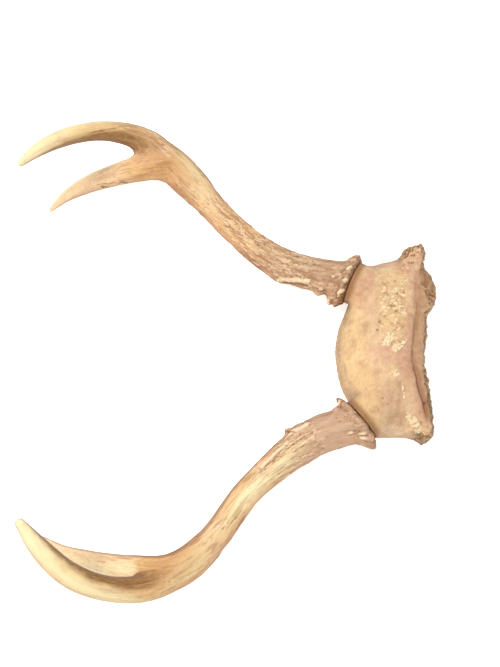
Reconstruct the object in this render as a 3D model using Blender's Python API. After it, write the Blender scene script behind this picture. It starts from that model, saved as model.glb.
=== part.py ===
"""A pair of forked deer antlers on the sawn skull plate they grew from.

Metres. +X points to the animal's nose, +Y to its left, +Z up. The forehead is
up: the sawn underside of the skull plate and the tips of the two rear tines
rest on Z = 0.
"""

import bmesh
import bpy
import numpy as np
from mathutils import Matrix

# The gap between two pieces that meet.
GAP = 0.0003

# Bone colours, linear, and roughness.
ANTLER_COLOUR = (0.78, 0.58, 0.34, 1.0)
TINE_COLOUR = (0.84, 0.66, 0.42, 1.0)
SKULL_COLOUR = (0.72, 0.55, 0.38, 1.0)
BONE_ROUGHNESS = 0.6

# Stations along each antler: x, y, z, radius. A beam runs from its burr to
# the tip of its main tine, a rear tine from inside the beam to its own tip.
# A burr's normal is the way its collar faces, a little off the beam's axis.
# Lumps on a beam: distance from the burr, angle from the top, height, width.
ANTLERS = {
    "left": {
        "beam": [
            (0.0808, 0.0472, 0.023, 0.0132),
            (0.053, 0.056, 0.019, 0.0114),
            (0.024, 0.071, 0.015, 0.0107),
            (-0.003, 0.0965, 0.014, 0.0098),
            (-0.035, 0.132, 0.023, 0.0103),
            (-0.061, 0.153, 0.041, 0.0092),
            (-0.087, 0.151, 0.063, 0.0068),
            (-0.115, 0.1356, 0.082, 0.0057),
            (-0.128, 0.1237, 0.090, 0.0045),
            (-0.1384, 0.1107, 0.096, 0.0022),
        ],
        "rear_tine": [
            (-0.030, 0.127, 0.0215, 0.0075),
            (-0.046, 0.1385, 0.030, 0.0092),
            (-0.058, 0.1373, 0.0335, 0.0088),
            (-0.070, 0.1367, 0.032, 0.0087),
            (-0.089, 0.1359, 0.025, 0.0073),
            (-0.110, 0.1337, 0.0155, 0.0058),
            (-0.1292, 0.128, 0.0062, 0.0036),
            (-0.1402, 0.1205, 0.0013, 0.0013),
        ],
        "burr_normal": (-0.87, 0.485, -0.10),
        "lumps": [
            (0.0052, 84, 0.0044, 0.0040),
            (0.006, -90, 0.0046, 0.0044),
            (0.0115, -90, 0.0058, 0.0042),
            (0.0165, -88, -0.0012, 0.0026),
            (0.003, 35, 0.0020, 0.0040),
            (0.003, 3, 0.0022, 0.0040),
            (0.004, -30, 0.0020, 0.0040),
            (0.0212, -86, 0.0034, 0.0032),
            (0.019, -48, 0.0016, 0.0034),
            (0.034, -92, 0.0010, 0.0060),
            (0.050, -88, 0.0024, 0.0090),
            (0.001, 150, 0.0012, 0.0044),
            (0.001, -140, 0.0024, 0.0044),
        ],
    },
    "right": {
        "beam": [
            (0.0788, -0.0519, 0.0240, 0.0137),
            (0.053, -0.059, 0.019, 0.0126),
            (0.025, -0.075, 0.015, 0.0108),
            (0.000, -0.0963, 0.0138, 0.0092),
            (-0.020, -0.1217, 0.017, 0.0093),
            (-0.041, -0.143, 0.027, 0.0096),
            (-0.062, -0.154, 0.040, 0.0086),
            (-0.084, -0.1545, 0.056, 0.0075),
            (-0.106, -0.145, 0.075, 0.0073),
            (-0.123, -0.127, 0.089, 0.0055),
            (-0.1317, -0.1144, 0.096, 0.0026),
        ],
        "rear_tine": [
            (-0.030, -0.132, 0.0215, 0.0072),
            (-0.046, -0.1425, 0.030, 0.0088),
            (-0.058, -0.1440, 0.0335, 0.0083),
            (-0.070, -0.1435, 0.032, 0.0085),
            (-0.088, -0.1403, 0.0245, 0.0076),
            (-0.107, -0.1354, 0.0155, 0.0063),
            (-0.126, -0.1283, 0.0064, 0.0040),
            (-0.1400, -0.1193, 0.0015, 0.0014),
        ],
        "burr_normal": (-0.80, -0.59, -0.10),
        "lumps": [
            (0.0015, 85, 0.0032, 0.0044),
            (0.006, -88, 0.0058, 0.0040),
            (0.020, -86, 0.0008, 0.0100),
            (0.016, 80, -0.0020, 0.0070),
            (0.001, 40, 0.0018, 0.0040),
            (0.002, -20, 0.0024, 0.0040),
            (0.009, -12, 0.0016, 0.0036),
            (0.012, 60, 0.0016, 0.0036),
            (0.0465, 74, 0.0034, 0.0030),
            (0.040, 62, 0.0016, 0.0050),
            (0.001, 140, 0.0024, 0.0044),
            (0.001, -145, 0.0010, 0.0044),
        ],
    },
}

# Antler surface. A wave is a count round the beam, its twist in turns of
# phase per metre, its phase, and its share of the height.
BURR_FLARE = 0.0040  # how far the burr stands out of the beam
BURR_AT = 0.0034  # the crest of its bead, and how long the bead is
BURR_LENGTH = 0.0036
KNOB_HEIGHT = 0.0013
KNOB_WAVES = [(7, 0.0, 0.9, 1.0), (11, 0.0, -1.3, 0.6)]
GUTTER_DEPTH = 0.0008
GUTTER_WAVES = [(5, 26.0, 0.0, 1.0), (8, -18.0, 2.1, 0.7)]
GUTTER_FADE = 0.2  # the gutters' share of depth that reaches the tip
PEARL_HEIGHT = 0.0011
PEARL_COUNT = 6
PEARL_SPACING = 0.0034
ROUGH_LENGTH = 0.045  # the relief dies away over this distance from the burr
RELIEF_RADIUS = 0.0100  # and is smaller where the beam is thinner than this
LUMP_RADIUS = 0.014  # a lump's angle times this is its distance round the beam
TINE_WAVE = (4, 30.0, 0.0, 0.05)
BURR_TURN = 0.022  # the rings turn from the burr's plane to the beam's over this

# Antler mesh.
CURVE_FINE = 24  # steps from one station to the next when a curve is measured
AROUND_BEAM = 24
AROUND_TINE = 18
BURR_STEP = 0.002
BURR_END = 0.020
BEAM_STEP = 0.0066
TINE_STEP = 0.0066
TIP_ANGLES = (35, 65)  # the rings that round off a tip, in degrees

# Skull plate: its sawn outline seen from above, anticlockwise from the nose.
PLATE_OUTLINE = [
    (0.1302, 0.0045),
    (0.1318, 0.0190),
    (0.1336, 0.0262),
    (0.1386, 0.0296),
    (0.1400, 0.0370),
    (0.1398, 0.0460),
    (0.1362, 0.0535),
    (0.1336, 0.0625),
    (0.1354, 0.0715),
    (0.1338, 0.0762),
    (0.1287, 0.0755),
    (0.1225, 0.0731),
    (0.1185, 0.0690),
    (0.1135, 0.0652),
    (0.1050, 0.0638),
    (0.0930, 0.0635),
    (0.0840, 0.0490),
    (0.0770, 0.0320),
    (0.0705, 0.0180),
    (0.0675, 0.0040),
    (0.0675, -0.0100),
    (0.0700, -0.0250),
    (0.0770, -0.0400),
    (0.0880, -0.0600),
    (0.1000, -0.0610),
    (0.1115, -0.0620),
    (0.1187, -0.0636),
    (0.1240, -0.0670),
    (0.1276, -0.0648),
    (0.1290, -0.0590),
    (0.1296, -0.0480),
    (0.1290, -0.0300),
    (0.1276, -0.0140),
    (0.1288, -0.0055),
]
PLATE_CENTRE = (0.102, 0.002)
PLATE_HALF_WIDTH = 0.065
PLATE_HEIGHT = 0.036
SIDE_FALL = 0.007  # lower by this at the sides than on the midline
BROW_FALL = 0.006  # and by this at the brow
BROW_FROM_TO = (0.085, 0.128)  # the dome of the braincase turns into the brow
REAR_EDGE = 0.004  # height of the outer edge at the braincase
FRONT_EDGE = 0.014  # and at the brow
REAR_ROUNDNESS = 2.4  # power of the fall to the edge: 2 is a ball, 8 a block
FRONT_ROUNDNESS = 7.4
EDGE_FADE = (0.93, 1.0)  # share of the way out over which the step dies away
# The broken step along the brow, and how far the bone drops in front of it.
STEP_LINE = [
    (0.1262, 0.0460),
    (0.1241, 0.0379),
    (0.1242, 0.0271),
    (0.1220, 0.0150),
    (0.1190, 0.0037),
    (0.1170, -0.0050),
    (0.1167, -0.0132),
    (0.1190, -0.0270),
    (0.1205, -0.0360),
    (0.1230, -0.0470),
    (0.1242, -0.0554),
]
STEP_DROP = 0.0030
STEP_WIDTH = 0.0025
STEP_ENDS = (0.049, 0.059)  # it dies away towards both sides
# Bumps and pits on the plate: x, y, height, width.
PLATE_LUMPS = [
    (0.130, 0.071, 0.0050, 0.0075),
    (0.134, 0.046, 0.0040, 0.0070),
    (0.134, 0.024, 0.0020, 0.0060),
    (0.118, -0.051, 0.0030, 0.0060),
    (0.125, -0.062, 0.0035, 0.0060),
    (0.129, -0.030, 0.0020, 0.0060),
    (0.111, 0.032, -0.0020, 0.0050),
    (0.119, 0.042, -0.0025, 0.0050),
    (0.111, 0.008, 0.0012, 0.0060),
    (0.093, -0.048, -0.0020, 0.0050),
]
# The braincase's hollow underside: an ellipsoid cut off by the saw.
HOLLOW_CENTRE = (0.098, -0.001)
HOLLOW_HALF = (0.0265, 0.033)
HOLLOW_HEIGHT = 0.023
# The roofs of the eye sockets, scooped out under the brow.
ORBIT_CENTRES = [(0.132, 0.049), (0.130, -0.043)]
ORBIT_HALF = (0.022, 0.019, 0.009)
ORBIT_SEGMENTS = 20
# Skull plate mesh: points round each ring, and the rings' shares of the way out.
PLATE_POINTS = 62
PLATE_RINGS = [0.13, 0.26, 0.38, 0.49, 0.59, 0.68, 0.76, 0.83, 0.89, 0.94, 0.975, 1.0]
HOLLOW_RINGS = [1.0, 0.93, 0.8, 0.6, 0.35]

# Pedicles: distance back from the burr, drop of the axis, radius.
PEDICLE = [
    (0.000, 0.000, 0.0155),
    (0.003, 0.000, 0.0151),
    (0.007, 0.000, 0.0156),
    (0.013, 0.001, 0.0158),
    (0.019, 0.003, 0.0145),
    (0.026, 0.006, 0.0118),
    (0.032, 0.009, 0.0070),
]
PEDICLE_WAVE = (3, 0.0, 0.5, 0.03)
PEDICLE_NOSE = 0.002  # the inner end is a blunt point this long
AROUND_PEDICLE = 20


def clear_scene():
    for obj in list(bpy.data.objects):
        bpy.data.objects.remove(obj, do_unlink=True)


def bone_material(name, colour):
    material = bpy.data.materials.new(name)
    material.use_nodes = True
    shader = material.node_tree.nodes["Principled BSDF"]
    shader.inputs["Base Color"].default_value = colour
    shader.inputs["Roughness"].default_value = BONE_ROUGHNESS
    shader.inputs["Metallic"].default_value = 0.0
    return material


def mesh_object(name, points, faces, material=None):
    mesh = bpy.data.meshes.new(name)
    mesh.from_pydata([tuple(p) for p in points], [], faces)
    mesh.update()
    mesh.shade_smooth()
    obj = bpy.data.objects.new(name, mesh)
    bpy.context.scene.collection.objects.link(obj)
    if material:
        mesh.materials.append(material)
    return obj


def boolean_with(obj, helper, operation):
    """Adds an exact Boolean with a helper that is not itself a part."""
    helper.hide_render = True
    helper.display_type = "WIRE"
    modifier = obj.modifiers.new(helper.name, "BOOLEAN")
    modifier.operation = operation
    modifier.solver = "EXACT"
    modifier.object = helper


def smooth(low, high, value):
    """0 below low, 1 above high, with a smooth turn between them."""
    t = np.clip((value - low) / (high - low), 0.0, 1.0)
    return t * t * (3.0 - 2.0 * t)


def curve_through(stations):
    """A cubic Hermite curve through the stations, and the distance along it."""
    stations = np.array(stations, float)
    chord = np.linalg.norm(np.diff(stations[:, :3], axis=0), axis=1)
    at = np.concatenate([[0.0], np.cumsum(chord)])
    slope = np.gradient(stations, at, axis=0)
    piece = np.repeat(np.arange(len(chord)), CURVE_FINE)
    t = np.tile(np.arange(CURVE_FINE) / CURVE_FINE, len(chord))
    piece = np.append(piece, len(chord) - 1)
    t = np.append(t, 1.0)[:, None]
    span = chord[piece][:, None]
    points = (
        (2 * t**3 - 3 * t**2 + 1) * stations[piece]
        + (t**3 - 2 * t**2 + t) * span * slope[piece]
        + (3 * t**2 - 2 * t**3) * stations[piece + 1]
        + (t**3 - t**2) * span * slope[piece + 1]
    )
    step = np.linalg.norm(np.diff(points[:, :3], axis=0), axis=1)
    return points, np.concatenate([[0.0], np.cumsum(step)])


def at_distances(curve, distances, values):
    """The values of a curve, one column each, at these distances along it."""
    return np.stack([np.interp(distances, curve, column) for column in values.T], 1)


def unit(vectors):
    return vectors / np.linalg.norm(vectors, axis=-1, keepdims=True)


def ring_frames(tangents):
    """Two directions across each tangent: up, and to the side."""
    up = np.array([0.0, 0.0, 1.0])
    across_up = unit(up - tangents * (tangents @ up)[:, None])
    return across_up, np.cross(tangents, across_up)


def angles_around(count):
    return np.arange(count) * 2.0 * np.pi / count


def tube(centres, tangents, radii, start, end):
    """Closed tube: one ring of radii a centre, and a pole point at each end."""
    across_up, across_side = ring_frames(tangents)
    angles = angles_around(radii.shape[1])
    direction = (
        np.cos(angles)[None, :, None] * across_up[:, None, :]
        + np.sin(angles)[None, :, None] * across_side[:, None, :]
    )
    rings = centres[:, None, :] + radii[:, :, None] * direction
    points = np.concatenate([rings.reshape(-1, 3), [start, end]])
    return points, tube_faces(*radii.shape)


def tube_faces(rings, around):
    """Quads between the rings, and a fan of triangles to the pole at each end."""
    start, end = rings * around, rings * around + 1
    last = (rings - 1) * around
    faces = []
    for j in range(around):
        k = (j + 1) % around
        for low in range(0, last, around):
            high = low + around
            faces.append((low + j, low + k, high + k, high + j))
        faces.append((start, k, j))
        faces.append((end, last + j, last + k))
    return faces


def waves(table, distance, angle):
    return sum(
        share * np.cos(count * angle + twist * distance + phase)
        for count, twist, phase, share in table
    )


def beam_relief(distance, angle, lumps):
    """How far a beam's surface stands out of its plain radius."""
    rough = np.exp(-distance / ROUGH_LENGTH)
    burr = np.exp(-(((distance - BURR_AT) / BURR_LENGTH) ** 2))
    wander = 2.0 * np.sin(distance / PEARL_SPACING / 2.0)
    pearls = np.cos(PEARL_COUNT * angle + wander) * np.cos(distance / PEARL_SPACING)
    gutter_depth = GUTTER_DEPTH * (GUTTER_FADE + (1.0 - GUTTER_FADE) * rough)
    shaft = gutter_depth * waves(GUTTER_WAVES, distance, angle)
    shaft = shaft + PEARL_HEIGHT * rough * np.maximum(pearls, 0.0)
    collar = BURR_FLARE + KNOB_HEIGHT * waves(KNOB_WAVES, distance, angle)
    relief = burr * collar + (1.0 - burr) * shaft
    for lump_at, lump_angle, height, width in lumps:
        turn = np.angle(np.exp(1j * (angle - np.radians(lump_angle))))
        off = (distance - lump_at) ** 2 + (turn * LUMP_RADIUS) ** 2
        relief = relief + height * np.exp(-off / width**2)
    return relief


def tip_rings(length, tip_radius):
    return length - tip_radius * (1.0 - np.sin(np.radians(TIP_ANGLES)))


def beam_distances(length, tip_radius):
    """Ring places: close together at the burr, and round over the tip."""
    burr = np.arange(0.0, BURR_END, BURR_STEP)
    count = int(round((length - tip_radius - BURR_END) / BEAM_STEP))
    body = np.linspace(BURR_END, length - tip_radius, count + 1)
    return np.concatenate([burr, body, tip_rings(length, tip_radius)])


def tine_distances(length, tip_radius):
    count = int(round((length - tip_radius) / TINE_STEP))
    body = np.linspace(0.0, length - tip_radius, count + 1)
    return np.concatenate([body, tip_rings(length, tip_radius)])


def tip_rounding(distances, length, tip_radius):
    """1 along the shaft, falling to 0 over the tip as on a ball."""
    over = np.clip((distances - (length - tip_radius)) / tip_radius, 0.0, 1.0)
    return np.sqrt(1.0 - over**2)[:, None]


def beam_mesh(shape, grow=0.0):
    """The beam with its burr and main tine, thicker all round by grow."""
    points, curve = curve_through(shape["beam"])
    tip_radius = shape["beam"][-1][3]
    distances = beam_distances(curve[-1], tip_radius)
    stations = at_distances(curve, distances, points)
    slopes = np.gradient(points[:, :3], curve, axis=0)
    tangents = unit(at_distances(curve, distances, slopes))
    normal = unit(np.array(shape["burr_normal"]))
    turn = smooth(0.0, BURR_TURN, distances)[:, None]
    tangents = unit(normal * (1.0 - turn) + tangents * turn)
    angle = angles_around(AROUND_BEAM)[None, :]
    relief = beam_relief(distances[:, None], angle, shape["lumps"])
    relief = relief * np.minimum(stations[:, 3:] / RELIEF_RADIUS, 1.0)
    radii = (stations[:, 3:] + relief) * tip_rounding(distances, curve[-1], tip_radius)
    return tube(stations[:, :3], tangents, radii + grow, stations[0, :3], points[-1, :3])


def tine_mesh(shape):
    points, curve = curve_through(shape["rear_tine"])
    tip_radius = shape["rear_tine"][-1][3]
    distances = tine_distances(curve[-1], tip_radius)
    stations = at_distances(curve, distances, points)
    slopes = np.gradient(points[:, :3], curve, axis=0)
    tangents = unit(at_distances(curve, distances, slopes))
    angle = angles_around(AROUND_TINE)[None, :]
    ridges = 1.0 + waves([TINE_WAVE], distances[:, None], angle)
    radii = stations[:, 3:] * ridges * tip_rounding(distances, curve[-1], tip_radius)
    return tube(stations[:, :3], tangents, radii, stations[0, :3], points[-1, :3])


def antler(side, beam_material, tine_material):
    shape = ANTLERS[side]
    mesh_object(f"{side}_beam", *beam_mesh(shape), beam_material)
    tine = mesh_object(f"{side}_tine", *tine_mesh(shape), tine_material)
    boolean_with(tine, mesh_object(f"{side}_fork_cutter", *beam_mesh(shape, GAP)), "DIFFERENCE")


def plate_outline():
    """PLATE_POINTS points, evenly spaced along a closed curve through the outline."""
    closed = PLATE_OUTLINE[-2:] + PLATE_OUTLINE + PLATE_OUTLINE[:3]
    points, curve = curve_through([(x, y, 0.0) for x, y in closed])
    first, last = 2 * CURVE_FINE, (2 + len(PLATE_OUTLINE)) * CURVE_FINE
    distances = np.linspace(curve[first], curve[last], PLATE_POINTS, endpoint=False)
    return at_distances(curve, distances, points)[:, :2]


def plate_height(x, y, t):
    """Height of the plate's outer face; t runs from 0 at its centre to 1 at its edge."""
    forward = smooth(*BROW_FROM_TO, x)
    edge = REAR_EDGE + (FRONT_EDGE - REAR_EDGE) * forward
    crown = PLATE_HEIGHT - SIDE_FALL * ((y - PLATE_CENTRE[1]) / PLATE_HALF_WIDTH) ** 2
    crown = crown - BROW_FALL * forward
    power = REAR_ROUNDNESS + (FRONT_ROUNDNESS - REAR_ROUNDNESS) * forward
    height = edge + (crown - edge) * np.sqrt(np.clip(1.0 - t**power, 0.0, 1.0))
    step_x, step_y = np.array(STEP_LINE[::-1]).T
    in_front = smooth(-STEP_WIDTH / 2, STEP_WIDTH / 2, x - np.interp(y, step_y, step_x))
    middle = 1.0 - smooth(*STEP_ENDS, np.abs(y))
    height = height - STEP_DROP * in_front * middle * (1.0 - smooth(*EDGE_FADE, t))
    for lump_x, lump_y, lump_height, width in PLATE_LUMPS:
        off = ((x - lump_x) ** 2 + (y - lump_y) ** 2) / width**2
        height = height + lump_height * np.exp(-off)
    return height


def plate_rings(outline):
    """Rings over the top from the centre, down the edge, and up into the hollow."""
    centre = np.array(PLATE_CENTRE)
    rings = []
    for t in PLATE_RINGS:
        at = centre + (outline - centre) * t
        rings.append(np.column_stack([at, plate_height(at[:, 0], at[:, 1], t)]))
    rings.append(np.column_stack([outline, np.zeros(len(outline))]))
    from_hollow = outline - np.array(HOLLOW_CENTRE)
    angle = np.arctan2(from_hollow[:, 1], from_hollow[:, 0])
    for t in HOLLOW_RINGS:
        x = HOLLOW_CENTRE[0] + HOLLOW_HALF[0] * t * np.cos(angle)
        y = HOLLOW_CENTRE[1] + HOLLOW_HALF[1] * t * np.sin(angle)
        z = np.full(len(angle), HOLLOW_HEIGHT * np.sqrt(1.0 - t**2))
        rings.append(np.column_stack([x, y, z]))
    return np.array(rings)


def plate_mesh():
    rings = plate_rings(plate_outline())
    top = (*PLATE_CENTRE, float(plate_height(*np.array(PLATE_CENTRE), 0.0)))
    inside = (*HOLLOW_CENTRE, HOLLOW_HEIGHT)
    points = np.concatenate([rings.reshape(-1, 3), [top, inside]])
    faces = [face[::-1] for face in tube_faces(*rings.shape[:2])]
    return points, faces


def pedicle_mesh(side):
    """The stub that carries the burr, running forward into the forehead."""
    shape = ANTLERS[side]
    normal = unit(np.array(shape["burr_normal"]))
    burr = np.array(shape["beam"][0][:3])
    back, drop, radius = np.array(PEDICLE).T
    centres = burr - normal * (back + GAP)[:, None]
    centres[:, 2] -= drop
    tangents = np.repeat(-normal[None, :], len(back), axis=0)
    angle = angles_around(AROUND_PEDICLE)[None, :]
    radii = radius[:, None] * (1.0 + waves([PEDICLE_WAVE], 0.0, angle))
    return tube(centres, tangents, radii, centres[0], centres[-1] - normal * PEDICLE_NOSE)


def orbit_cutter(name, centre):
    mesh = bpy.data.meshes.new(name)
    form = bmesh.new()
    place = Matrix.Translation((*centre, 0.0)) @ Matrix.Diagonal((*ORBIT_HALF, 1.0))
    bmesh.ops.create_uvsphere(
        form, u_segments=ORBIT_SEGMENTS, v_segments=ORBIT_SEGMENTS // 2, radius=1.0, matrix=place
    )
    form.to_mesh(mesh)
    form.free()
    cutter = bpy.data.objects.new(name, mesh)
    bpy.context.scene.collection.objects.link(cutter)
    return cutter


def skull_plate(material):
    plate = mesh_object("skull_plate", *plate_mesh(), material)
    for side in ANTLERS:
        boolean_with(plate, mesh_object(f"{side}_pedicle", *pedicle_mesh(side)), "UNION")
    for side, centre in zip(ANTLERS, ORBIT_CENTRES):
        boolean_with(plate, orbit_cutter(f"{side}_orbit", centre), "DIFFERENCE")


clear_scene()
antler_bone = bone_material("antler_bone", ANTLER_COLOUR)
tine_bone = bone_material("tine_bone", TINE_COLOUR)
skull_bone = bone_material("skull_bone", SKULL_COLOUR)
skull_plate(skull_bone)
for antler_side in ANTLERS:
    antler(antler_side, antler_bone, tine_bone)
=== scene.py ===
import bpy
import numpy as np
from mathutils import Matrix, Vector


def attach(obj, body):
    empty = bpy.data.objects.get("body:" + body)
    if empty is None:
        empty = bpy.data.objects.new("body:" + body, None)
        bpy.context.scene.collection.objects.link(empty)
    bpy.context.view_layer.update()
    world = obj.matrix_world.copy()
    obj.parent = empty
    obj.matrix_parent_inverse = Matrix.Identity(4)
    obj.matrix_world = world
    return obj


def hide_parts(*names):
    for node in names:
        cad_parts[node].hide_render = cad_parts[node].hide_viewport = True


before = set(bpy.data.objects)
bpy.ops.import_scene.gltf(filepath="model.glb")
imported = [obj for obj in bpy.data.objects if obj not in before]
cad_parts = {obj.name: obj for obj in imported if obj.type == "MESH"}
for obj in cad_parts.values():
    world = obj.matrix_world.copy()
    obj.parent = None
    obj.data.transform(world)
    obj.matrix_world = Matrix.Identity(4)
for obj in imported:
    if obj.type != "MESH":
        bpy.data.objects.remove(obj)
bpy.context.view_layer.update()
print("frame loaded:", ", ".join(sorted(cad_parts)))

# Metres. +X is the animal's nose, +Y its left, +Z up out of the forehead.


def ramp(low, high, value):
    # 3t^2 - 2t^3, where t is how far the value is from low to high
    t = np.clip((value - low) / (high - low), 0.0, 1.0)
    return t * t * (3.0 - 2.0 * t)


def fall(low, high, value):
    # 1 up to low, 0 from high on
    return 1.0 - ramp(low, high, value)


def bell(away, width, power=2):
    # e^-(away / width)^power
    return np.exp(-((away / width) ** power))


def unit(vectors):
    return vectors / np.linalg.norm(vectors, axis=-1, keepdims=True)


def softLeast(a, b, width):
    # the smaller of a and b, less width h (1 - h) where they are within a width of each other
    h = np.clip(0.5 + 0.5 * (b - a) / width, 0.0, 1.0)
    return b * (1.0 - h) + a * h - width * h * (1.0 - h)


def cellValue(cells, seed):
    # a number from 0 to 1 for each whole cell: its three numbers times three primes, stirred
    n = cells[..., 0] * 73856093 ^ cells[..., 1] * 19349663 ^ cells[..., 2] * 83492791
    n = (n ^ (seed * 40503 + 977)) & 0xFFFFFFFF
    n = ((n ^ (n >> 15)) * 739982445) & 0xFFFFFFFF
    n = ((n ^ (n >> 13)) * 695872825) & 0xFFFFFFFF
    return ((n ^ (n >> 16)) & 0xFFFFFF) / 0xFFFFFF


def softNoise(points, seed):
    # random numbers at the corners of a unit grid, mixed with 3t^2 - 2t^3 along each side: -1 to 1
    base = np.floor(points).astype(np.int64)
    t = points - base
    t = t * t * (3.0 - 2.0 * t)
    total = 0.0
    for corner in np.ndindex(2, 2, 2):
        share = np.prod(np.where(corner, t, 1.0 - t), axis=-1)
        total = total + share * cellValue(base + np.array(corner), seed)
    return 2.0 * total - 1.0


def layeredNoise(points, seed, layers=3):
    # noise at p, half as much at 2.1 p, a quarter at 4.4 p, and so on
    total, size = 0.0, 1.0
    for layer in range(layers):
        total = total + size * softNoise(points * 2.1**layer, seed + 31 * layer)
        size *= 0.5
    return total


def nearCells(points, seed):
    # the 27 unit cells about each point, with the squared distance to the random centre of each
    base = np.floor(points).astype(np.int64)
    for corner in np.ndindex(3, 3, 3):
        cell = base + np.array(corner) - 1
        centre = np.stack([cellValue(cell, seed + axis) for axis in range(3)], axis=-1)
        yield cell, ((points - cell - centre) ** 2).sum(axis=-1)


def scatteredBumps(points, seed, share, width):
    # one bump in a share of the unit cells, h (1 - d^2 / width^2)^2 high; where two meet, the higher
    best = np.zeros(len(points))
    for cell, squared in nearCells(points, seed):
        kept = (cellValue(cell, seed + 3) < share) * (0.5 + 0.5 * cellValue(cell, seed + 4))
        best = np.maximum(best, kept * np.clip(1.0 - squared / width**2, 0.0, 1.0) ** 2)
    return best


def scalePattern(points, seed):
    # one random point in each unit cell: the nearest one's own number from 0 to 1, and how much
    # further away the second nearest is, which is 0 on the seams between the scales
    first, second = np.full(len(points), 9.0), np.full(len(points), 9.0)
    number = np.zeros(len(points))
    for cell, squared in nearCells(points, seed):
        away = np.sqrt(squared)
        number = np.where(away < first, cellValue(cell, seed + 3), number)
        second = np.minimum(second, np.maximum(first, away))
        first = np.minimum(first, away)
    return number, second - first


def tableAt(s, table, column=1):
    # the table's column at each s, in straight lines from row to row
    table = np.array(table)
    return np.interp(s, table[:, 0], table[:, column])


def curveThrough(stations, fine=24):
    # cubic Hermite curve: each column of the stations over the chord length, slopes by differences
    stations = np.array(stations, float)
    chord = np.linalg.norm(np.diff(stations[:, :3], axis=0), axis=1)
    at = np.concatenate([[0.0], np.cumsum(chord)])
    slope = np.gradient(stations, at, axis=0)
    piece = np.append(np.repeat(np.arange(len(chord)), fine), len(chord) - 1)
    t = np.append(np.tile(np.arange(fine) / fine, len(chord)), 1.0)[:, None]
    span = chord[piece][:, None]
    points = (
        (2 * t**3 - 3 * t**2 + 1) * stations[piece]
        + (t**3 - 2 * t**2 + t) * span * slope[piece]
        + (3 * t**2 - 2 * t**3) * stations[piece + 1]
        + (t**3 - t**2) * span * slope[piece + 1]
    )
    step = np.linalg.norm(np.diff(points[:, :3], axis=0), axis=1)
    return points, np.concatenate([[0.0], np.cumsum(step)])


# closed grids and the meshes made from them


def closedGrid(rings, start, end):
    # rings of points (ring, around, xyz), each pole a single point, faces turned outwards
    count, around = rings.shape[:2]
    points = np.concatenate([rings.reshape(-1, 3), [start, end]])
    ring = np.arange(count - 1)[:, None] * around
    here, nextOne = np.arange(around), (np.arange(around) + 1) % around
    quads = np.stack(
        [ring + here, ring + nextOne, ring + around + nextOne, ring + around + here], axis=-1
    ).reshape(-1, 4)
    last = (count - 1) * around
    poles = np.full(around, count * around)
    fans = np.concatenate(
        [np.stack([poles, nextOne, here], 1), np.stack([poles + 1, last + here, last + nextOne], 1)]
    )
    return points, quads, fans


def meshObject(name, points, quads, fans=None):
    sizes = np.full(len(quads), 4)
    corners = quads.ravel()
    if fans is not None:
        sizes = np.append(sizes, np.full(len(fans), 3))
        corners = np.append(corners, fans.ravel())
    mesh = bpy.data.meshes.new(name)
    mesh.vertices.add(len(points))
    mesh.vertices.foreach_set("co", points.astype(np.float32).ravel())
    mesh.loops.add(len(corners))
    mesh.loops.foreach_set("vertex_index", corners.astype(np.int32))
    mesh.polygons.add(len(sizes))
    starts = np.concatenate([[0], np.cumsum(sizes)[:-1]])
    mesh.polygons.foreach_set("loop_start", starts.astype(np.int32))
    mesh.update(calc_edges=True)
    mesh.shade_smooth()
    obj = bpy.data.objects.new(name, mesh)
    bpy.context.scene.collection.objects.link(obj)
    return obj


def fusedSkin(parts, voxel):
    # the skin round several closed grids taken together, as points and four-cornered faces
    offset, points, quads, fans = 0, [], [], []
    for partPoints, partQuads, partFans in parts:
        points.append(partPoints)
        quads.append(partQuads + offset)
        fans.append(partFans + offset)
        offset += len(partPoints)
    obj = meshObject("skinHelper", *map(np.concatenate, (points, quads, fans)))
    remesh = obj.modifiers.new("fuse", "REMESH")
    remesh.mode = "VOXEL"
    remesh.voxel_size = voxel
    evaluated = obj.evaluated_get(bpy.context.evaluated_depsgraph_get())
    skin = evaluated.to_mesh()
    found = np.empty(len(skin.vertices) * 3, np.float32)
    skin.vertices.foreach_get("co", found)
    corners = np.empty(len(skin.loops), np.int32)
    skin.loops.foreach_get("vertex_index", corners)
    if len(corners) != 4 * len(skin.polygons):
        raise ValueError("the fused skin has a face without four corners")
    evaluated.to_mesh_clear()
    bpy.data.objects.remove(obj, do_unlink=True)
    return found.reshape(-1, 3).astype(float), corners.reshape(-1, 4)


def skinNormals(points, quads):
    # each corner gets the sum of its faces' diagonal cross products, made one long
    a, b, c, d = (points[quads[:, k]] for k in range(4))
    across = np.cross(c - a, d - b)
    total = np.stack(
        [
            sum(np.bincount(quads[:, k], across[:, axis], len(points)) for k in range(4))
            for axis in range(3)
        ],
        axis=1,
    )
    return total / np.maximum(np.linalg.norm(total, axis=1, keepdims=True), 1e-20)


def blurred(values, quads, times, share=0.5):
    # each value moves by a share towards the mean of its neighbours, so many times
    fromPoint = quads.ravel()
    toPoint = np.roll(quads, -1, axis=1).ravel()
    count = np.bincount(fromPoint, minlength=len(values))
    flat = values.reshape(len(values), -1).astype(float)
    share = np.broadcast_to(share, len(values))
    for _ in range(times):
        for column in range(flat.shape[1]):
            mean = np.bincount(fromPoint, flat[toPoint, column], len(values)) / count
            flat[:, column] += share * (mean - flat[:, column])
    return flat.reshape(values.shape)


def hollowness(points, quads, size):
    # how far each point stands over (+) or under (-) its surroundings, in units of size
    normals = skinNormals(points, quads)
    proud = ((points - blurred(points, quads, 10)) * normals).sum(axis=1)
    return np.clip((proud - blurred(proud, quads, 60)) / size, -1.0, 1.0)


# painted shade: the skin is coloured darker the more it turns from the lit side
turnedAwayShade = {
    "litSide": (0.0, -0.30, 0.95),  # the way the lit side faces; the skin gets painted shade as it turns from it
    "darkFromTo": (0.58, 0.10),  # cosine of the turn away from it: plain, and darkest
    "behind": 0.5,  # how much less painted shade the far side gets
}


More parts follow.
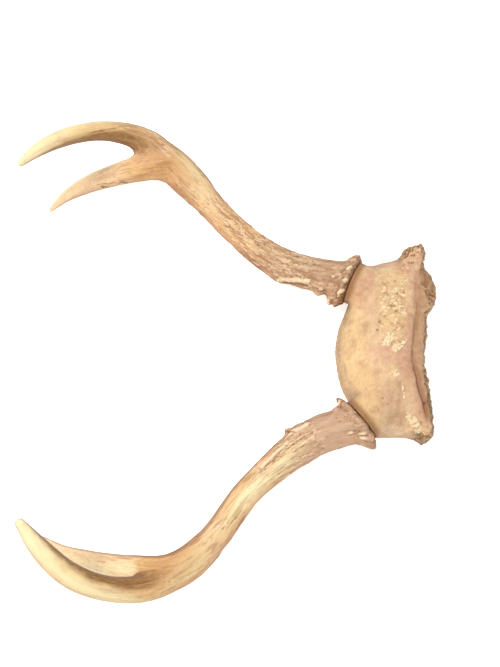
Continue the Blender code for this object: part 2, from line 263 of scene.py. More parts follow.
def turnedAwayShading(points, quads):
    # painted shade: 0 where the skin faces the lit side, 1 at right angles to it, less again behind
    bleached = unit(np.array(turnedAwayShade["litSide"]))
    towards = blurred(skinNormals(points, quads), quads, 3) @ bleached
    plain, darkest = turnedAwayShade["darkFromTo"]
    behind = fall(-0.6, 0.0, towards)
    return fall(darkest, plain, towards) * (1.0 - turnedAwayShade["behind"] * behind)


def storeValues(obj, **values):
    # each value on the mesh's points, as an attribute that the materials read
    for name, value in values.items():
        kind = "FLOAT_VECTOR" if value.ndim == 2 else "FLOAT"
        layer = obj.data.attributes.new(name, kind, "POINT")
        field = "vector" if value.ndim == 2 else "value"
        layer.data.foreach_set(field, value.astype(np.float32).ravel())


# antlers: a beam from the burr to the tip of its main tine, and a rear tine

antlerForm = {
    "burrFlare": 0.0040,  # how far the burr stands out of the beam
    "burrAt": 0.0034,  # the crest of the burr's bead, and how long the bead is
    "burrLength": 0.0036,
    "knobHeight": 0.0013,
    "knobWaves": [(7, 0.0, 0.9, 1.0), (11, 0.0, -1.3, 0.6)],  # count, twist, phase, share
    "gutterDepth": 0.0008,
    "gutterWaves": [(5, 26.0, 0.0, 1.0), (8, -18.0, 2.1, 0.7)],
    "gutterFade": 0.2,
    "roughLength": 0.045,  # the gutters die away over this distance from the burr
    "burrTurn": 0.022,  # the rings turn from the burr's plane to the beam's over this
    "lumpRadius": 0.014,  # turns a lump's degrees round the beam into a distance
    "fullRadius": 0.010,  # burr, gutters and lumps are lower on a beam thinner than this
    "tineWave": (4, 30.0, 0.0, 0.05),
    "rimWidth": 0.0020,  # how softly the burr's rim turns over to the face at the skull
    "around": (120, 72),  # corners in a ring of the beam and in one of the rear tine
    "voxel": 0.0006,
    "ridgeHeight": 0.00040,  # lengthwise unevenness
    "fibreHeight": 0.00007,
    "barkHeight": 0.00075,  # the scaly surface by the burr
    "flakeHeight": 0.00038,
    "pearlHeight": 0.0010,
    "pearlReach": 0.011,  # how far from the burr the pearls go
    "pitDepth": 0.00030,
    # long waves, fibres and roughness: size across and along the grain, seed, layers
    "noises": [(0.0030, 0.024, 0, 3), (0.0011, 0.010, 5, 2), (0.0028, 0.0042, 3, 3)],
    "bend": (0.0007, 0.0035, 0.0060),  # how far the scales' seams wind, size across and along
    "scales": [(0.0026, 0.0052, 9), (0.0014, 0.0066, 51)],  # the bark's and the flakes', and seed
    # pearls, pits and ticks: size across and along, seed, share of the cells, width
    "spots": [(0.0041, 0.0049, 19, 0.42, 0.38), (0.0034, 0.0075, 21, 0.30, 0.30),
              (0.0016, 0.0048, 23, 0.30, 0.36)],
    "fullMarks": (0.0009, 0.0005, 0.0007),  # pale, cracks, tine marks: a height with full colour
    "forkMix": 0.010,  # half the distance over which the beam's values pass into the rear tine's
    "grainMix": 0.0035,  # the same for the grain
    "webWidth": 0.0080,  # the web between the tines that the stain keeps off
    "webClean": 0.0060,  # and that no dirt darkens
    "creaseWidth": 0.0007,
    "rimShade": 0.0022,  # how far the painted shade on the burr's base goes
    "hollowSize": 0.00022,  # a hollow this deep is as dirty as any
    "flankFromTo": (40.0, 85.0),  # degrees from the top where the browner sides, partly painted shade, start and are full
    "stainRagged": (10.0, 0.004, 0.011),  # degrees that its edge wanders, size across and along
    "stainEdge": (-22.0, 14.0),  # degrees about the edge
    "stainDark": (20.0, 24.0),  # degrees past the edge where it is strongest, and half the width
    "stainEnd": (150.0, 200.0),  # degrees from the top
}

leftAntler = {
    "name": "left_antler",
    "nodes": ("left_beam", "left_tine"),
    "seed": 11,
    "beam": [  # x, y, z, radius
        (0.0808, 0.0472, 0.023, 0.0132), (0.053, 0.056, 0.019, 0.0114), (0.024, 0.071, 0.015, 0.0107),
        (-0.003, 0.0965, 0.014, 0.0098), (-0.035, 0.132, 0.023, 0.0103), (-0.061, 0.153, 0.041, 0.0092),
        (-0.087, 0.151, 0.063, 0.0068), (-0.115, 0.1356, 0.082, 0.0057),
        (-0.128, 0.1237, 0.090, 0.0045), (-0.1384, 0.1107, 0.096, 0.0022),
    ],
    "rearTine": [
        (-0.030, 0.127, 0.0215, 0.0075), (-0.046, 0.1385, 0.030, 0.0092),
        (-0.058, 0.1373, 0.0335, 0.0088), (-0.070, 0.1367, 0.032, 0.0087),
        (-0.089, 0.1359, 0.025, 0.0075), (-0.110, 0.1337, 0.0155, 0.0060),
        (-0.1292, 0.128, 0.0062, 0.0036), (-0.1402, 0.1205, 0.0013, 0.0013),
    ],
    "burrNormal": (-0.87, 0.485, -0.10),
    "lumps": [  # distance from the burr, degrees round from the top, height, width
        (0.0052, 84, 0.0044, 0.0040), (0.006, -90, 0.0046, 0.0044), (0.0115, -90, 0.0058, 0.0042),
        (0.0165, -88, -0.0012, 0.0026), (0.003, 35, 0.0020, 0.0040), (0.003, 3, 0.0022, 0.0040),
        (0.004, -30, 0.0020, 0.0040), (0.0212, -86, 0.0034, 0.0032), (0.019, -48, 0.0016, 0.0034),
        (0.034, -92, 0.0010, 0.0060), (0.050, -88, 0.0024, 0.0090), (0.001, 150, 0.0012, 0.0044),
        (0.001, -140, 0.0024, 0.0044),
    ],
    "forkWidth": 0.0115,  # how widely the rear tine flows into the beam
    "twist": 7.0,  # how the grain winds, radians a metre
    "bark": [(0.0, 0.9), (0.012, 0.6), (0.028, 0.75), (0.045, 0.9), (0.060, 0.55), (0.080, 0.25),
             (0.110, 0.12), (0.180, 0.08), (0.210, 0.0)],
    "flaky": [(0.020, 0.0), (0.040, 0.5), (0.065, 1.0), (0.103, 0.9), (0.120, 0.7), (0.170, 0.65),
              (0.190, 0.45), (0.215, 0.2), (0.240, 0.0)],
    "streaky": [(0.0, 0.8), (0.060, 1.0), (0.200, 1.0), (0.240, 0.7)],
    "umber": [(0.0, 0.8), (0.012, 0.6), (0.026, 0.75), (0.052, 0.75), (0.068, 0.45), (0.084, 0.1),
              (0.105, 0.0), (0.115, 0.25), (0.128, 0.1), (0.168, 0.1), (0.178, 0.35), (0.200, 0.35),
              (0.225, 0.0)],
    "crest": [  # distance, degrees, half width in degrees, strength of the painted pale golden highlight along the crest
        (0.060, 5, 35, 0.1), (0.080, -5, 40, 0.35), (0.098, -5, 45, 0.5), (0.112, -5, 40, 0.35),
        (0.124, -5, 45, 0.5), (0.138, -6, 62, 0.85), (0.150, 20, 52, 1.0), (0.162, 25, 46, 1.0),
        (0.173, 16, 38, 0.45), (0.183, 5, 38, 0.05), (0.207, 30, 40, 0.12), (0.225, 40, 48, 0.6),
        (0.245, 35, 50, 0.85), (0.262, 15, 60, 1.0), (0.280, 0, 110, 1.0),
    ],
    "shadedFlank": [  # distance, strength of the browner side, partly painted shade, at -90 degrees and at +90
        (0.0, 0.15, 0.1), (0.030, 0.5, 0.25), (0.050, 0.7, 0.4), (0.070, 0.8, 0.5), (0.150, 0.75, 0.45),
        (0.175, 0.6, 0.9), (0.200, 0.6, 0.9), (0.215, 0.6, 0.5), (0.240, 0.6, 0.1), (0.280, 0.2, 0.0),
    ],
    "tineShadedFlank": [(0.0, 0.6, 0.6), (0.040, 0.5, 0.4), (0.090, 0.35, 0.0), (0.130, 0.1, 0.0)],
    "tineCrestHighlight": [(0.034, 76, 44, 0.0), (0.050, 76, 50, 0.9), (0.100, 84, 64, 1.0), (0.130, 84, 90, 1.0)],
    "webClear": 1.0,  # how far the stain keeps off the web between the tines
    "creamFrom": (0.054, 0.015, 0.95),  # distance, softness, strength of the rear tine's colour
    "creaseFrom": (0.026, 0.034, 0.15),  # where the painted shade line between the tines starts, and its strength
    "pale": [  # raised pale ridges and pearls: height, width, (distance, degrees) along each
        (0.0012, 0.0019, [(0.0490, -80), (0.0463, -72), (0.0400, -66), (0.0349, -58), (0.0293, -50)]),
        (0.0006, 0.0012, [(0.0350, -58), (0.0300, -62), (0.0270, -66)]),
        (0.0014, 0.0014, [(0.0031, 8), (0.0038, 4)]),
        (0.0014, 0.0014, [(0.0024, -19), (0.0034, -22)]),
        (0.0014, 0.0013, [(0.0025, -49), (0.0036, -51)]),
        (0.0013, 0.0013, [(0.0192, -62), (0.0203, -64)]),
        (0.0008, 0.0009, [(0.0122, -14), (0.0132, -16)]),
        (0.0012, 0.0012, [(0.0115, -84), (0.0100, -88)]),
    ],
    "cracks": [  # dark cracks: depth, width, (distance, degrees) along each
        (0.0006, 0.0010, [(0.0440, -86), (0.0400, -80), (0.0349, -74), (0.0290, -68)]),
        (0.0003, 0.0005, [(0.2378, -44), (0.2300, -34), (0.2190, -16)]),
        (0.0002, 0.0005, [(0.2160, -30), (0.2100, -36), (0.2030, -48)]),
        (0.0003, 0.0005, [(0.1760, -60), (0.1840, -70), (0.1915, -84)]),
        (0.0003, 0.0008, [(0.1780, 12), (0.1800, 6)]),
    ],
    "tineMarks": [  # dark marks on the rear tine
        (0.0003, 0.0009, [(0.0560, -74), (0.0605, -70)]),
        (0.0003, 0.0010, [(0.0665, -72), (0.0695, -74)]),
        (0.0004, 0.0012, [(0.0710, -66), (0.0775, -56)]),
        (0.0001, 0.0005, [(0.0610, -42), (0.0655, -36)]),
        (0.0001, 0.0006, [(0.0700, -6), (0.0735, 2)]),
        (0.0009, 0.0015, [(0.0570, -98), (0.0600, -88)]),
        (0.0008, 0.0013, [(0.0730, -100), (0.0765, -90)]),
    ],
    "stain": [  # distance, degrees from the top to the edge of the stain, strength
        (0.176, -60, 0.0), (0.186, -46, 0.25), (0.198, -28, 0.65), (0.2090, -26, 0.9),
        (0.2180, -33, 0.9), (0.2320, -44, 0.85), (0.2400, -50, 0.85), (0.2556, -58, 0.8),
        (0.2661, -66, 0.75), (0.280, -80, 0.5), (0.295, -120, 0.0),
    ],
}

rightAntler = {
    "name": "right_antler",
    "nodes": ("right_beam", "right_tine"),
    "seed": 47,
    "beam": [
        (0.0788, -0.0519, 0.0240, 0.0137), (0.053, -0.059, 0.019, 0.0126),
        (0.025, -0.075, 0.015, 0.0108), (0.000, -0.0963, 0.0138, 0.0092),
        (-0.020, -0.1217, 0.017, 0.0093), (-0.041, -0.143, 0.027, 0.0096),
        (-0.062, -0.154, 0.040, 0.0086), (-0.084, -0.1545, 0.056, 0.0075),
        (-0.106, -0.145, 0.075, 0.0073), (-0.123, -0.127, 0.089, 0.0055),
        (-0.1317, -0.1144, 0.096, 0.0026),
    ],
    "rearTine": [
        (-0.030, -0.132, 0.0215, 0.0072), (-0.046, -0.1425, 0.030, 0.0088),
        (-0.058, -0.1440, 0.0335, 0.0083), (-0.070, -0.1435, 0.032, 0.0085),
        (-0.088, -0.1403, 0.0245, 0.0076), (-0.107, -0.1354, 0.0155, 0.0063),
        (-0.126, -0.1283, 0.0064, 0.0040), (-0.1400, -0.1193, 0.0015, 0.0014),
    ],
    "burrNormal": (-0.80, -0.59, -0.10),
    "lumps": [
        (0.0015, 85, 0.0032, 0.0044), (0.006, -88, 0.0058, 0.0040), (0.020, -86, 0.0008, 0.0100),
        (0.016, 80, -0.0020, 0.0070), (0.001, 40, 0.0018, 0.0040), (0.002, -20, 0.0024, 0.0040),
        (0.009, -12, 0.0016, 0.0036), (0.012, 60, 0.0016, 0.0036), (0.0465, 74, 0.0034, 0.0030),
        (0.040, 62, 0.0016, 0.0050), (0.001, 140, 0.0024, 0.0044), (0.001, -145, 0.0010, 0.0044),
    ],
    "forkWidth": 0.0065,
    "twist": -7.0,
    "bark": [(0.0, 0.75), (0.012, 0.36), (0.026, 0.32), (0.040, 0.34), (0.052, 0.3), (0.062, 0.0)],
    "flaky": [(0.024, 0.0), (0.034, 0.85), (0.058, 0.9), (0.076, 0.5), (0.100, 0.35), (0.170, 0.4),
              (0.220, 0.0)],
    "streaky": [(0.0, 0.5), (0.012, 0.3), (0.028, 0.35), (0.040, 0.8), (0.060, 1.0), (0.200, 1.0),
                (0.240, 0.5)],
    "umber": [(0.0, 0.7), (0.012, 0.4), (0.028, 0.5), (0.048, 0.4), (0.060, 0.1), (0.070, 0.0),
              (0.108, 0.0), (0.116, 0.15), (0.130, 0.0)],
    "crest": [
        (0.030, 0, 40, 0.05), (0.050, -15, 36, 0.4), (0.062, -25, 50, 0.85), (0.080, -18, 56, 1.0),
        (0.100, -12, 52, 1.0), (0.112, -4, 46, 0.85), (0.125, 2, 50, 0.9), (0.143, -3, 62, 1.0),
        (0.157, -8, 66, 1.0), (0.168, -12, 54, 0.8), (0.178, -30, 40, 0.4), (0.188, -68, 30, 0.3),
        (0.200, -50, 34, 0.6), (0.214, -35, 40, 0.95), (0.240, -14, 41, 1.0), (0.260, -4, 44, 1.0),
        (0.280, 4, 66, 1.0),
    ],
    "shadedFlank": [
        (0.0, 0.0, 0.0), (0.028, 0.1, 0.1), (0.044, 0.1, 0.45), (0.066, 0.0, 0.6), (0.100, 0.1, 0.35),
        (0.112, 0.45, 0.35), (0.140, 0.35, 0.55), (0.155, 0.1, 0.65), (0.172, 0.3, 0.75),
        (0.195, 0.25, 0.8), (0.220, 0.5, 0.6), (0.240, 1.0, 0.35), (0.285, 1.0, 0.1),
    ],
    "tineShadedFlank": [(0.0, 0.1, 0.7), (0.046, 0.0, 0.8), (0.100, 0.0, 0.8), (0.130, 0.0, 0.3)],
    "tineCrestHighlight": [(0.043, -25, 38, 0.0), (0.047, -25, 40, 0.9), (0.060, -25, 42, 0.95),
                  (0.072, -36, 48, 0.95), (0.130, -46, 48, 0.8)],
    "webClear": 0.0,
    "creamFrom": (0.0450, 0.0025, 0.95),
    "creaseFrom": (0.036, 0.046, 0.8),
    "pale": [
        (0.0012, 0.0024, [(0.0450, 52), (0.0394, 46), (0.0343, 45)]),
        (0.0008, 0.0013, [(0.0740, 26), (0.0664, 27), (0.0580, 30), (0.0510, 33)]),
        (0.0006, 0.0012, [(0.0425, -2), (0.0395, -5)]),
        (0.0009, 0.0013, [(0.0101, -32), (0.0108, -34)]),
        (0.0010, 0.0013, [(0.0048, -38), (0.0058, -42)]),
        (0.0008, 0.0012, [(0.0062, -52), (0.0070, -54)]),
        (0.0011, 0.0013, [(0.0040, 71), (0.0060, 66)]),
    ],
    "cracks": [
        (0.0005, 0.0010, [(0.0490, 74), (0.0470, 68), (0.0430, 46)]),
        (0.0002, 0.0006, [(0.0620, 12), (0.0600, 6)]),
        (0.0002, 0.0006, [(0.1180, -12), (0.1150, -6)]),
    ],
    "tineMarks": [
        (0.0002, 0.0006, [(0.0490, -2), (0.0525, 0)]),
        (0.0002, 0.0006, [(0.0620, 26), (0.0640, 28)]),
        (0.0002, 0.0006, [(0.0675, 12), (0.0735, 9)]),
        (0.0002, 0.0005, [(0.0440, 2), (0.0480, 8)]),
        (0.0002, 0.0005, [(0.0430, 22), (0.0475, 26)]),
        (0.0002, 0.0005, [(0.0445, -16), (0.0480, -12)]),
    ],
    "stain": [
        (0.162, 20, 0.0), (0.170, 4, 0.25), (0.182, 2, 0.6), (0.192, 4, 0.9),
        (0.202, 4, 1.0), (0.210, 16, 1.0), (0.2202, 24, 1.0), (0.2305, 28, 1.0),
        (0.2402, 40, 1.0), (0.2483, 42, 1.0), (0.262, 44, 0.95), (0.276, 52, 0.85),
        (0.285, 80, 0.5), (0.295, 130, 0.0),
    ],
}


def pathOf(stations, startNormal=None, step=0.0005):
    # centre, radius and a frame (forward, up, side) at even distances s along the curve
    points, distance = curveThrough(stations)
    length = distance[-1] - stations[-1][3]
    at = np.linspace(0.0, length, int(length / step) + 1)
    table = np.stack([np.interp(at, distance, column) for column in points.T], axis=1)
    forward = unit(np.gradient(table[:, :3], at, axis=0))
    if startNormal is not None:
        turn = ramp(0.0, antlerForm["burrTurn"], at)[:, None]
        forward = unit(unit(np.array(startNormal)) * (1.0 - turn) + forward * turn)
    top = np.array([0.0, 0.0, 1.0])
    up = unit(top - forward * (forward @ top)[:, None])
    return {
        "length": length,
        "tip": stations[-1][3],
        "centre": table[:, :3],
        "radius": table[:, 3:],
        "forward": forward,
        "up": up,
        "side": np.cross(forward, up),
    }


def alongPath(path, key, s):
    # the path's value at each s, in a straight line between its two nearest rows
    table = path[key]
    place = np.clip(s / path["length"], 0.0, 1.0) * (len(table) - 1)
    low = np.minimum(place.astype(int), len(table) - 2)
    share = (place - low)[:, None]
    return table[low] * (1.0 - share) + table[low + 1] * share


def placeOn(path, points):
    # s moves by 0.8 (p - centre(s)) . forward(s) until the ring's plane runs through p
    coarse = path["centre"][::8]
    nearest = ((coarse**2).sum(axis=1) - 2.0 * points @ coarse.T).argmin(axis=1)
    s = nearest * 8.0 / (len(path["centre"]) - 1) * path["length"]
    for _ in range(14):
        away = points - alongPath(path, "centre", s)
        s = s + 0.8 * (away * alongPath(path, "forward", s)).sum(axis=1)
        s = np.clip(s, 0.0, path["length"])
    away = points - alongPath(path, "centre", s)
    past, x, y = (
        (away * alongPath(path, key, s)).sum(axis=1) for key in ("forward", "up", "side")
    )
    return s, past, x, y


def waves(table, s, angle):
    # sum of share cos(count angle + twist s + phase)
    return sum(
        share * np.cos(count * angle + twist * s + phase) for count, twist, phase, share in table
    )


def turnFrom(angle, degrees):
    # the turn from the degrees to the angle, in radians between -pi and pi
    return np.angle(np.exp(1j * (angle - np.radians(degrees))))


def beamRadius(path, s, angle, antler):
    # plain radius + burr's bead e^-((s - at)/length)^2 + gutters + rounded lumps
    form = antlerForm
    plain = alongPath(path, "radius", s)[:, 0]
    rough = np.exp(-s / form["roughLength"])
    burr = bell(s - form["burrAt"], form["burrLength"])
    depth = form["gutterDepth"] * (form["gutterFade"] + (1.0 - form["gutterFade"]) * rough)
    collar = form["burrFlare"] + form["knobHeight"] * waves(form["knobWaves"], s, angle)
    relief = burr * collar + (1.0 - burr) * depth * waves(form["gutterWaves"], s, angle)
    for lumpAt, degrees, height, width in antler["lumps"]:
        turn = turnFrom(angle, degrees) * form["lumpRadius"]
        relief = relief + height * np.exp(-((s - lumpAt) ** 2 + turn**2) / width**2)
    return plain + relief * np.minimum(plain / form["fullRadius"], 1.0)


def tineRadius(path, s, angle, antler):
    # plain radius times 1 + a shallow four-sided wave
    return alongPath(path, "radius", s)[:, 0] * (1.0 + waves([antlerForm["tineWave"]], s, angle))


def anglesRound(around):
    return np.arange(around) * 2.0 * np.pi / around


def ringsRound(centre, up, side, radius):
    # centre + radius (up cos + side sin) at even angles; the radii are a table (ring, around)
    angle = anglesRound(radius.shape[1])
    across = np.cos(angle)[:, None] * up[..., None, :] + np.sin(angle)[:, None] * side[..., None, :]
    return centre[:, None, :] + radius[:, :, None] * across


def sweptGrid(path, radiusAt, antler, around, step=0.0009):
    # rings with the radius R(s, angle), then a half ball over the tip
    s = np.linspace(0.0, path["length"], int(path["length"] / step) + 1)
    over = np.sin(np.radians([15, 30, 45, 60, 75, 85]))
    shrink = np.concatenate([np.ones(len(s)), np.sqrt(1.0 - over**2)])
    ahead = np.concatenate([np.zeros(len(s)), over * path["tip"]])
    s = np.concatenate([s, np.full(len(over), path["length"])])
    sAll, angleAll = (grid.ravel() for grid in np.meshgrid(s, anglesRound(around), indexing="ij"))
    radius = radiusAt(path, sAll, angleAll, antler).reshape(len(s), around) * shrink[:, None]
    centre, forward, up, side = (
        alongPath(path, key, s) for key in ("centre", "forward", "up", "side")
    )
    centre = centre + forward * ahead[:, None]
    end = centre[-1] + forward[-1] * path["tip"] * (1.0 - over[-1])
    return closedGrid(ringsRound(centre, up, side, radius), centre[0], end)


def antlerField(beam, tine, antler, points):
    # distance out of the beam and of the rear tine, |p - centre| - R, joined by softLeast
    s, past, x, y = placeOn(beam, points)
    beamOut = np.sqrt(x**2 + y**2 + np.maximum(past, 0.0) ** 2)
    beamOut = beamOut - beamRadius(beam, s, np.arctan2(y, x), antler)
    beamOut = -softLeast(-beamOut, s + past, antlerForm["rimWidth"])
    sTine, pastTine, xTine, yTine = placeOn(tine, points)
    tineOut = np.sqrt(xTine**2 + yTine**2 + pastTine**2)
    tineOut = tineOut - tineRadius(tine, sTine, np.arctan2(yTine, xTine), antler)
    gap = beamOut - tineOut
    blend = ramp(-antlerForm["forkMix"], antlerForm["forkMix"], gap)
    # share of the way to the tip; the rear tine's start carries on from the beam's there
    forkAt = placeOn(beam, tine["centre"][:1])[0][0]
    share = (s + past) / beam["length"] * (1.0 - blend)
    share = share + (forkAt + sTine + pastTine) / (forkAt + tine["length"]) * blend
    places = {
        "beam": np.stack([x, y, s + past], axis=1),
        "tine": np.stack([xTine, yTine, sTine + pastTine], axis=1),
        "gap": gap,
        "blend": blend,
        "share": share,
    }
    return softLeast(beamOut, tineOut, antler["forkWidth"]), places


def chainLinks(chain):
    # each two points that follow one another
    return zip(chain[:-1], chain[1:])


def nearLine(line, s, angle, around):
    # distance along the skin, in the plane of s and angle times radius, to a chain of lines
    best = np.ones(len(s))
    for (s0, degrees0), (s1, degrees1) in chainLinks(line):
        off = turnFrom(angle, degrees0) * around
        stepS, stepOff = s1 - s0, np.radians(degrees1 - degrees0) * around
        t = np.clip(((s - s0) * stepS + off * stepOff) / (stepS**2 + stepOff**2), 0.0, 1.0)
        best = np.minimum(best, np.hypot(s - s0 - t * stepS, off - t * stepOff))
    return best


def wrapped(degrees):
    # the same turn, between -180 and 180 degrees
    return (degrees + 180.0) % 360.0 - 180.0


def sideShade(place, table, ragged):
    # partly painted shade: 0 by the top, 1 well round to the side, times the table's share for that side
    angle = np.arctan2(place[:, 1], place[:, 0])
    plus = 0.5 + 0.5 * np.sin(angle)
    share = tableAt(place[:, 2], table) * (1.0 - plus) + tableAt(place[:, 2], table, 2) * plus
    return ramp(*antlerForm["flankFromTo"], np.abs(np.degrees(angle)) + ragged) * share


def crestShade(place, table):
    # painted highlight: e^-(degrees from the table's angle / the table's width)^2, times the table's
    # strength
    s = place[:, 2]
    off = wrapped(np.degrees(np.arctan2(place[:, 1], place[:, 0])) - tableAt(s, table))
    return tableAt(s, table, 3) * bell(off, tableAt(s, table, 2))


def marksOn(place, marks, full, wander):
    # the highest and the sum of height e^-(distance/width)^2 over the marks; full is 1 in the mask
    angle = np.arctan2(place[:, 1], place[:, 0])
    around = np.hypot(place[:, 0], place[:, 1])
    mask, total = np.zeros(len(place)), np.zeros(len(place))
    for height, width, line in marks:
        near = nearLine(line, place[:, 2], angle, around) / width
        bump = np.exp(-((near * wander) ** 2))
        total = total + height * bump
        mask = np.maximum(mask, bump * min(1.0, height / full))
    return mask, total


def antlerStain(antler, place, grain):
    # 0 to 1 past the stain's edge on the inner side, strongest just past it; edge moved by noise
    form, table = antlerForm, antler["stain"]
    side = np.sign(table[-1][1])
    inward = np.degrees(np.arctan2(place[:, 1], place[:, 0])) * side
    inward = (inward + 90.0) % 360.0 - 90.0
    degrees, across, lengthwise = form["stainRagged"]
    ragged = degrees * layeredNoise(grain / (across, across, lengthwise), antler["seed"] + 61, 3)
    beyond = inward + ragged - tableAt(place[:, 2], table) * side
    darkAt, darkWidth = form["stainDark"]
    stain = ramp(*form["stainEdge"], beyond) * (0.75 + 0.25 * bell(beyond - darkAt, darkWidth))
    return stain * fall(*form["stainEnd"], inward) * tableAt(place[:, 2], table, 2)


def grainPlace(place, twist):
    # the place turned about the axis by twist times s, so that the grain winds round it
    turn = twist * place[:, 2]
    x = place[:, 0] * np.cos(turn) - place[:, 1] * np.sin(turn)
    y = place[:, 0] * np.sin(turn) + place[:, 1] * np.cos(turn)
    return np.stack([x, y, place[:, 2]], axis=1)


def skinPattern(grain, seed):
    # one column each: long waves, fibres, roughness, scales and seams, flakes and their edges,
    # pearls, pits and ticks, from noise and cells stretched along the grain
    form = antlerForm
    amount, across, lengthwise = form["bend"]
    bend = amount * layeredNoise(grain / (across, across, lengthwise), seed + 7, 2)
    bent = grain + bend[:, None] * (1.0, -0.7, 1.4)
    columns = []
    for across, lengthwise, shift, layers in form["noises"]:
        columns.append(layeredNoise(grain / (across, across, lengthwise), seed + shift, layers))
    for across, lengthwise, shift in form["scales"]:
        columns.extend(scalePattern(bent / (across, across, lengthwise), seed + shift))
    for across, lengthwise, shift, *spot in form["spots"]:
        columns.append(scatteredBumps(grain / (across, across, lengthwise), seed + shift, *spot))
    return np.stack(columns)


def antlerRelief(antler, points, places):
    # unevenness, scales, flakes, pearls, pits, named ridges and cracks, less towards the tip
    form, seed = antlerForm, antler["seed"]
    beamPlace, tinePlace = places["beam"], places["tine"]
    blend, gap, share = (places[key] for key in ("blend", "gap", "share"))
    s = beamPlace[:, 2]
    onTine = ramp(-0.0010, 0.0014, gap)
    onBeam = 1.0 - onTine
    grain, tineGrain = (grainPlace(place, antler["twist"]) for place in (beamPlace, tinePlace))
    grainMix = ramp(-form["grainMix"], form["grainMix"], gap)
    pattern = skinPattern(grain, seed) * (1.0 - grainMix)
    pattern = pattern + skinPattern(tineGrain, seed + 200) * grainMix
    long, fibres, rough, scale, seam, flake, edge, pearls, pits, ticks = pattern
    burr = bell(s, form["pearlReach"])
    shaft = fall(0.50, 0.95, share)
    bark = tableAt(s, antler["bark"]) * onBeam
    flaky = tableAt(s, antler["flaky"]) * onBeam
    # a painted highlight along the crest of the beam and of the rear tine
    crest = crestShade(beamPlace, antler["crest"]) * (1.0 - blend)
    crest = crest + crestShade(tinePlace, antler["tineCrestHighlight"]) * onTine
    streaky = tableAt(s, antler["streaky"]) * (1.0 - 0.45 * crest)
    # the height: waves and fibres, bark, flakes, pearls and pits, then the marks from the tables
    relief = form["ridgeHeight"] * (0.2 + 0.8 * shaft) * long * (1.0 - 0.6 * bark)
    relief = (relief + form["fibreHeight"] * fibres * (0.4 + 0.6 * shaft)) * (0.3 + 0.7 * streaky)
    relief = relief + form["barkHeight"] * bark * (
        0.5 * (scale - 0.5) + 0.2 * ramp(0.0, 0.4, seam) + 0.6 * rough
    )
    flakes = ramp(0.0, 0.10, flake - 1.0 + 0.42 * flaky) * ramp(0.03, 0.25, edge)
    relief = relief + form["flakeHeight"] * flakes * (0.4 + 0.6 * ramp(0.45, 0.9, flaky))
    pits = pits * (0.15 + 0.85 * shaft) * fall(0.7, 0.9, share)
    relief = relief + form["pearlHeight"] * pearls * burr - form["pitDepth"] * pits
    wander = 1.0 + 0.4 * layeredNoise(points / 0.0019, seed + 71, 2)
    paleFull, crackFull, markFull = form["fullMarks"]
    pale, raised = marksOn(beamPlace, antler["pale"], paleFull, wander)
    cracks, cut = marksOn(beamPlace, antler["cracks"], crackFull, wander)
    marks, dug = marksOn(tinePlace, antler["tineMarks"], markFull, 1.9 * wander - 0.7)
    relief = relief + (raised - cut) * onBeam - dug * onTine
    # the masks for the colours
    ticks = ticks * onTine * fall(0.6, 0.9, share) * 0.6
    broken = ramp(-0.5, 0.6, long + rough)  # the seams come and go
    seams = fall(0.0, 0.16, seam) * bark * 0.8
    seams = np.maximum(seams, fall(0.0, 0.14, edge) * flaky * 0.8) * (1.0 - 0.8 * broken)
    # the sides browner, partly in the bone and partly as painted shade
    shadedFlank = sideShade(beamPlace, antler["shadedFlank"], 9.0 * fibres) * (1.0 - blend)
    shadedFlank = shadedFlank + sideShade(tinePlace, antler["tineShadedFlank"], 9.0 * fibres) * blend
    creamAt, soft, creamShare = antler["creamFrom"]
    cream = ramp(creamAt - soft, creamAt + soft, tinePlace[:, 2] + 0.0035 * rough) * creamShare
    creaseAt, creaseFull, creaseShare = antler["creaseFrom"]
    web = antler["webClear"] * bell(gap, form["webWidth"])
    # painted shade along the crease where the rear tine meets the beam
    creaseShade = bell(gap, form["creaseWidth"]) * ramp(creaseAt, creaseFull, tinePlace[:, 2])
    dark = np.maximum(np.maximum(pits, cracks * onBeam), np.maximum(marks * onTine, ticks))
    masks = {
        "pale": np.maximum(0.5 * pearls * burr, pale) * onBeam,
        "pits": dark,
        "seams": seams,
        "flakes": flakes,
        "streaky": streaky,
        "tone": 0.5 + (scale - 0.5) * bark,
        "crest": crest * (0.84 + 0.42 * long),
        "umber": tableAt(s, antler["umber"]) * (1.0 + 0.5 * rough) * (1.0 - blend),
        "shadedFlank": shadedFlank,
        "cream": cream * onTine,
        "creaseShade": creaseShade * creaseShare,
        "stain": antlerStain(antler, beamPlace, grain) * onBeam * (1.0 - web),
        # painted shade on the burr's base, by the groove to the pedicle
        "rim": bell(s, form["rimShade"]),
    }
    masks = {key: np.clip(value, 0.0, 1.0) for key, value in masks.items()}
    return relief, {"grain": grain, "tineGrain": tineGrain, "grainMix": grainMix, **masks}


def makeAntler(antler):
    form = antlerForm
    beam = pathOf(antler["beam"], antler["burrNormal"])
    tine = pathOf(antler["rearTine"])
    beamAround, tineAround = form["around"]
    grids = [
        sweptGrid(beam, beamRadius, antler, beamAround),
        sweptGrid(tine, tineRadius, antler, tineAround),
    ]
    points, quads = fusedSkin(grids, form["voxel"])
    for _ in range(5):  # the skin moves onto the field's zero
        out = antlerField(beam, tine, antler, points)[0]
        points = points - np.clip(0.9 * out, -0.001, 0.001)[:, None] * skinNormals(points, quads)
    places = antlerField(beam, tine, antler, points)[1]
    relief, masks = antlerRelief(antler, points, places)
    baseFace = ramp(0.0, 0.0012, places["beam"][:, 2])  # the face towards the skull stays plain
    normals = skinNormals(points, quads)
    points = points + (relief * baseFace)[:, None] * normals
    points[:, 2] = np.maximum(points[:, 2], 0.0)
    obj = meshObject(antler["name"], points, quads)
    web = bell(places["gap"], form["webClean"])
    hollow = hollowness(points, quads, form["hollowSize"]) * (1.0 - 0.9 * web)
    # painted shade on the sides turned from the light
    sides = turnedAwayShading(points, quads)
    storeValues(obj, along=places["share"], hollow=hollow, sides=sides, **masks)
    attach(obj, "root")
    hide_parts(*antler["nodes"])
    print(antler["name"], len(points), "points", 2 * len(quads), "triangles")
    return obj


# skull plate: sawn off through the braincase and the eye sockets

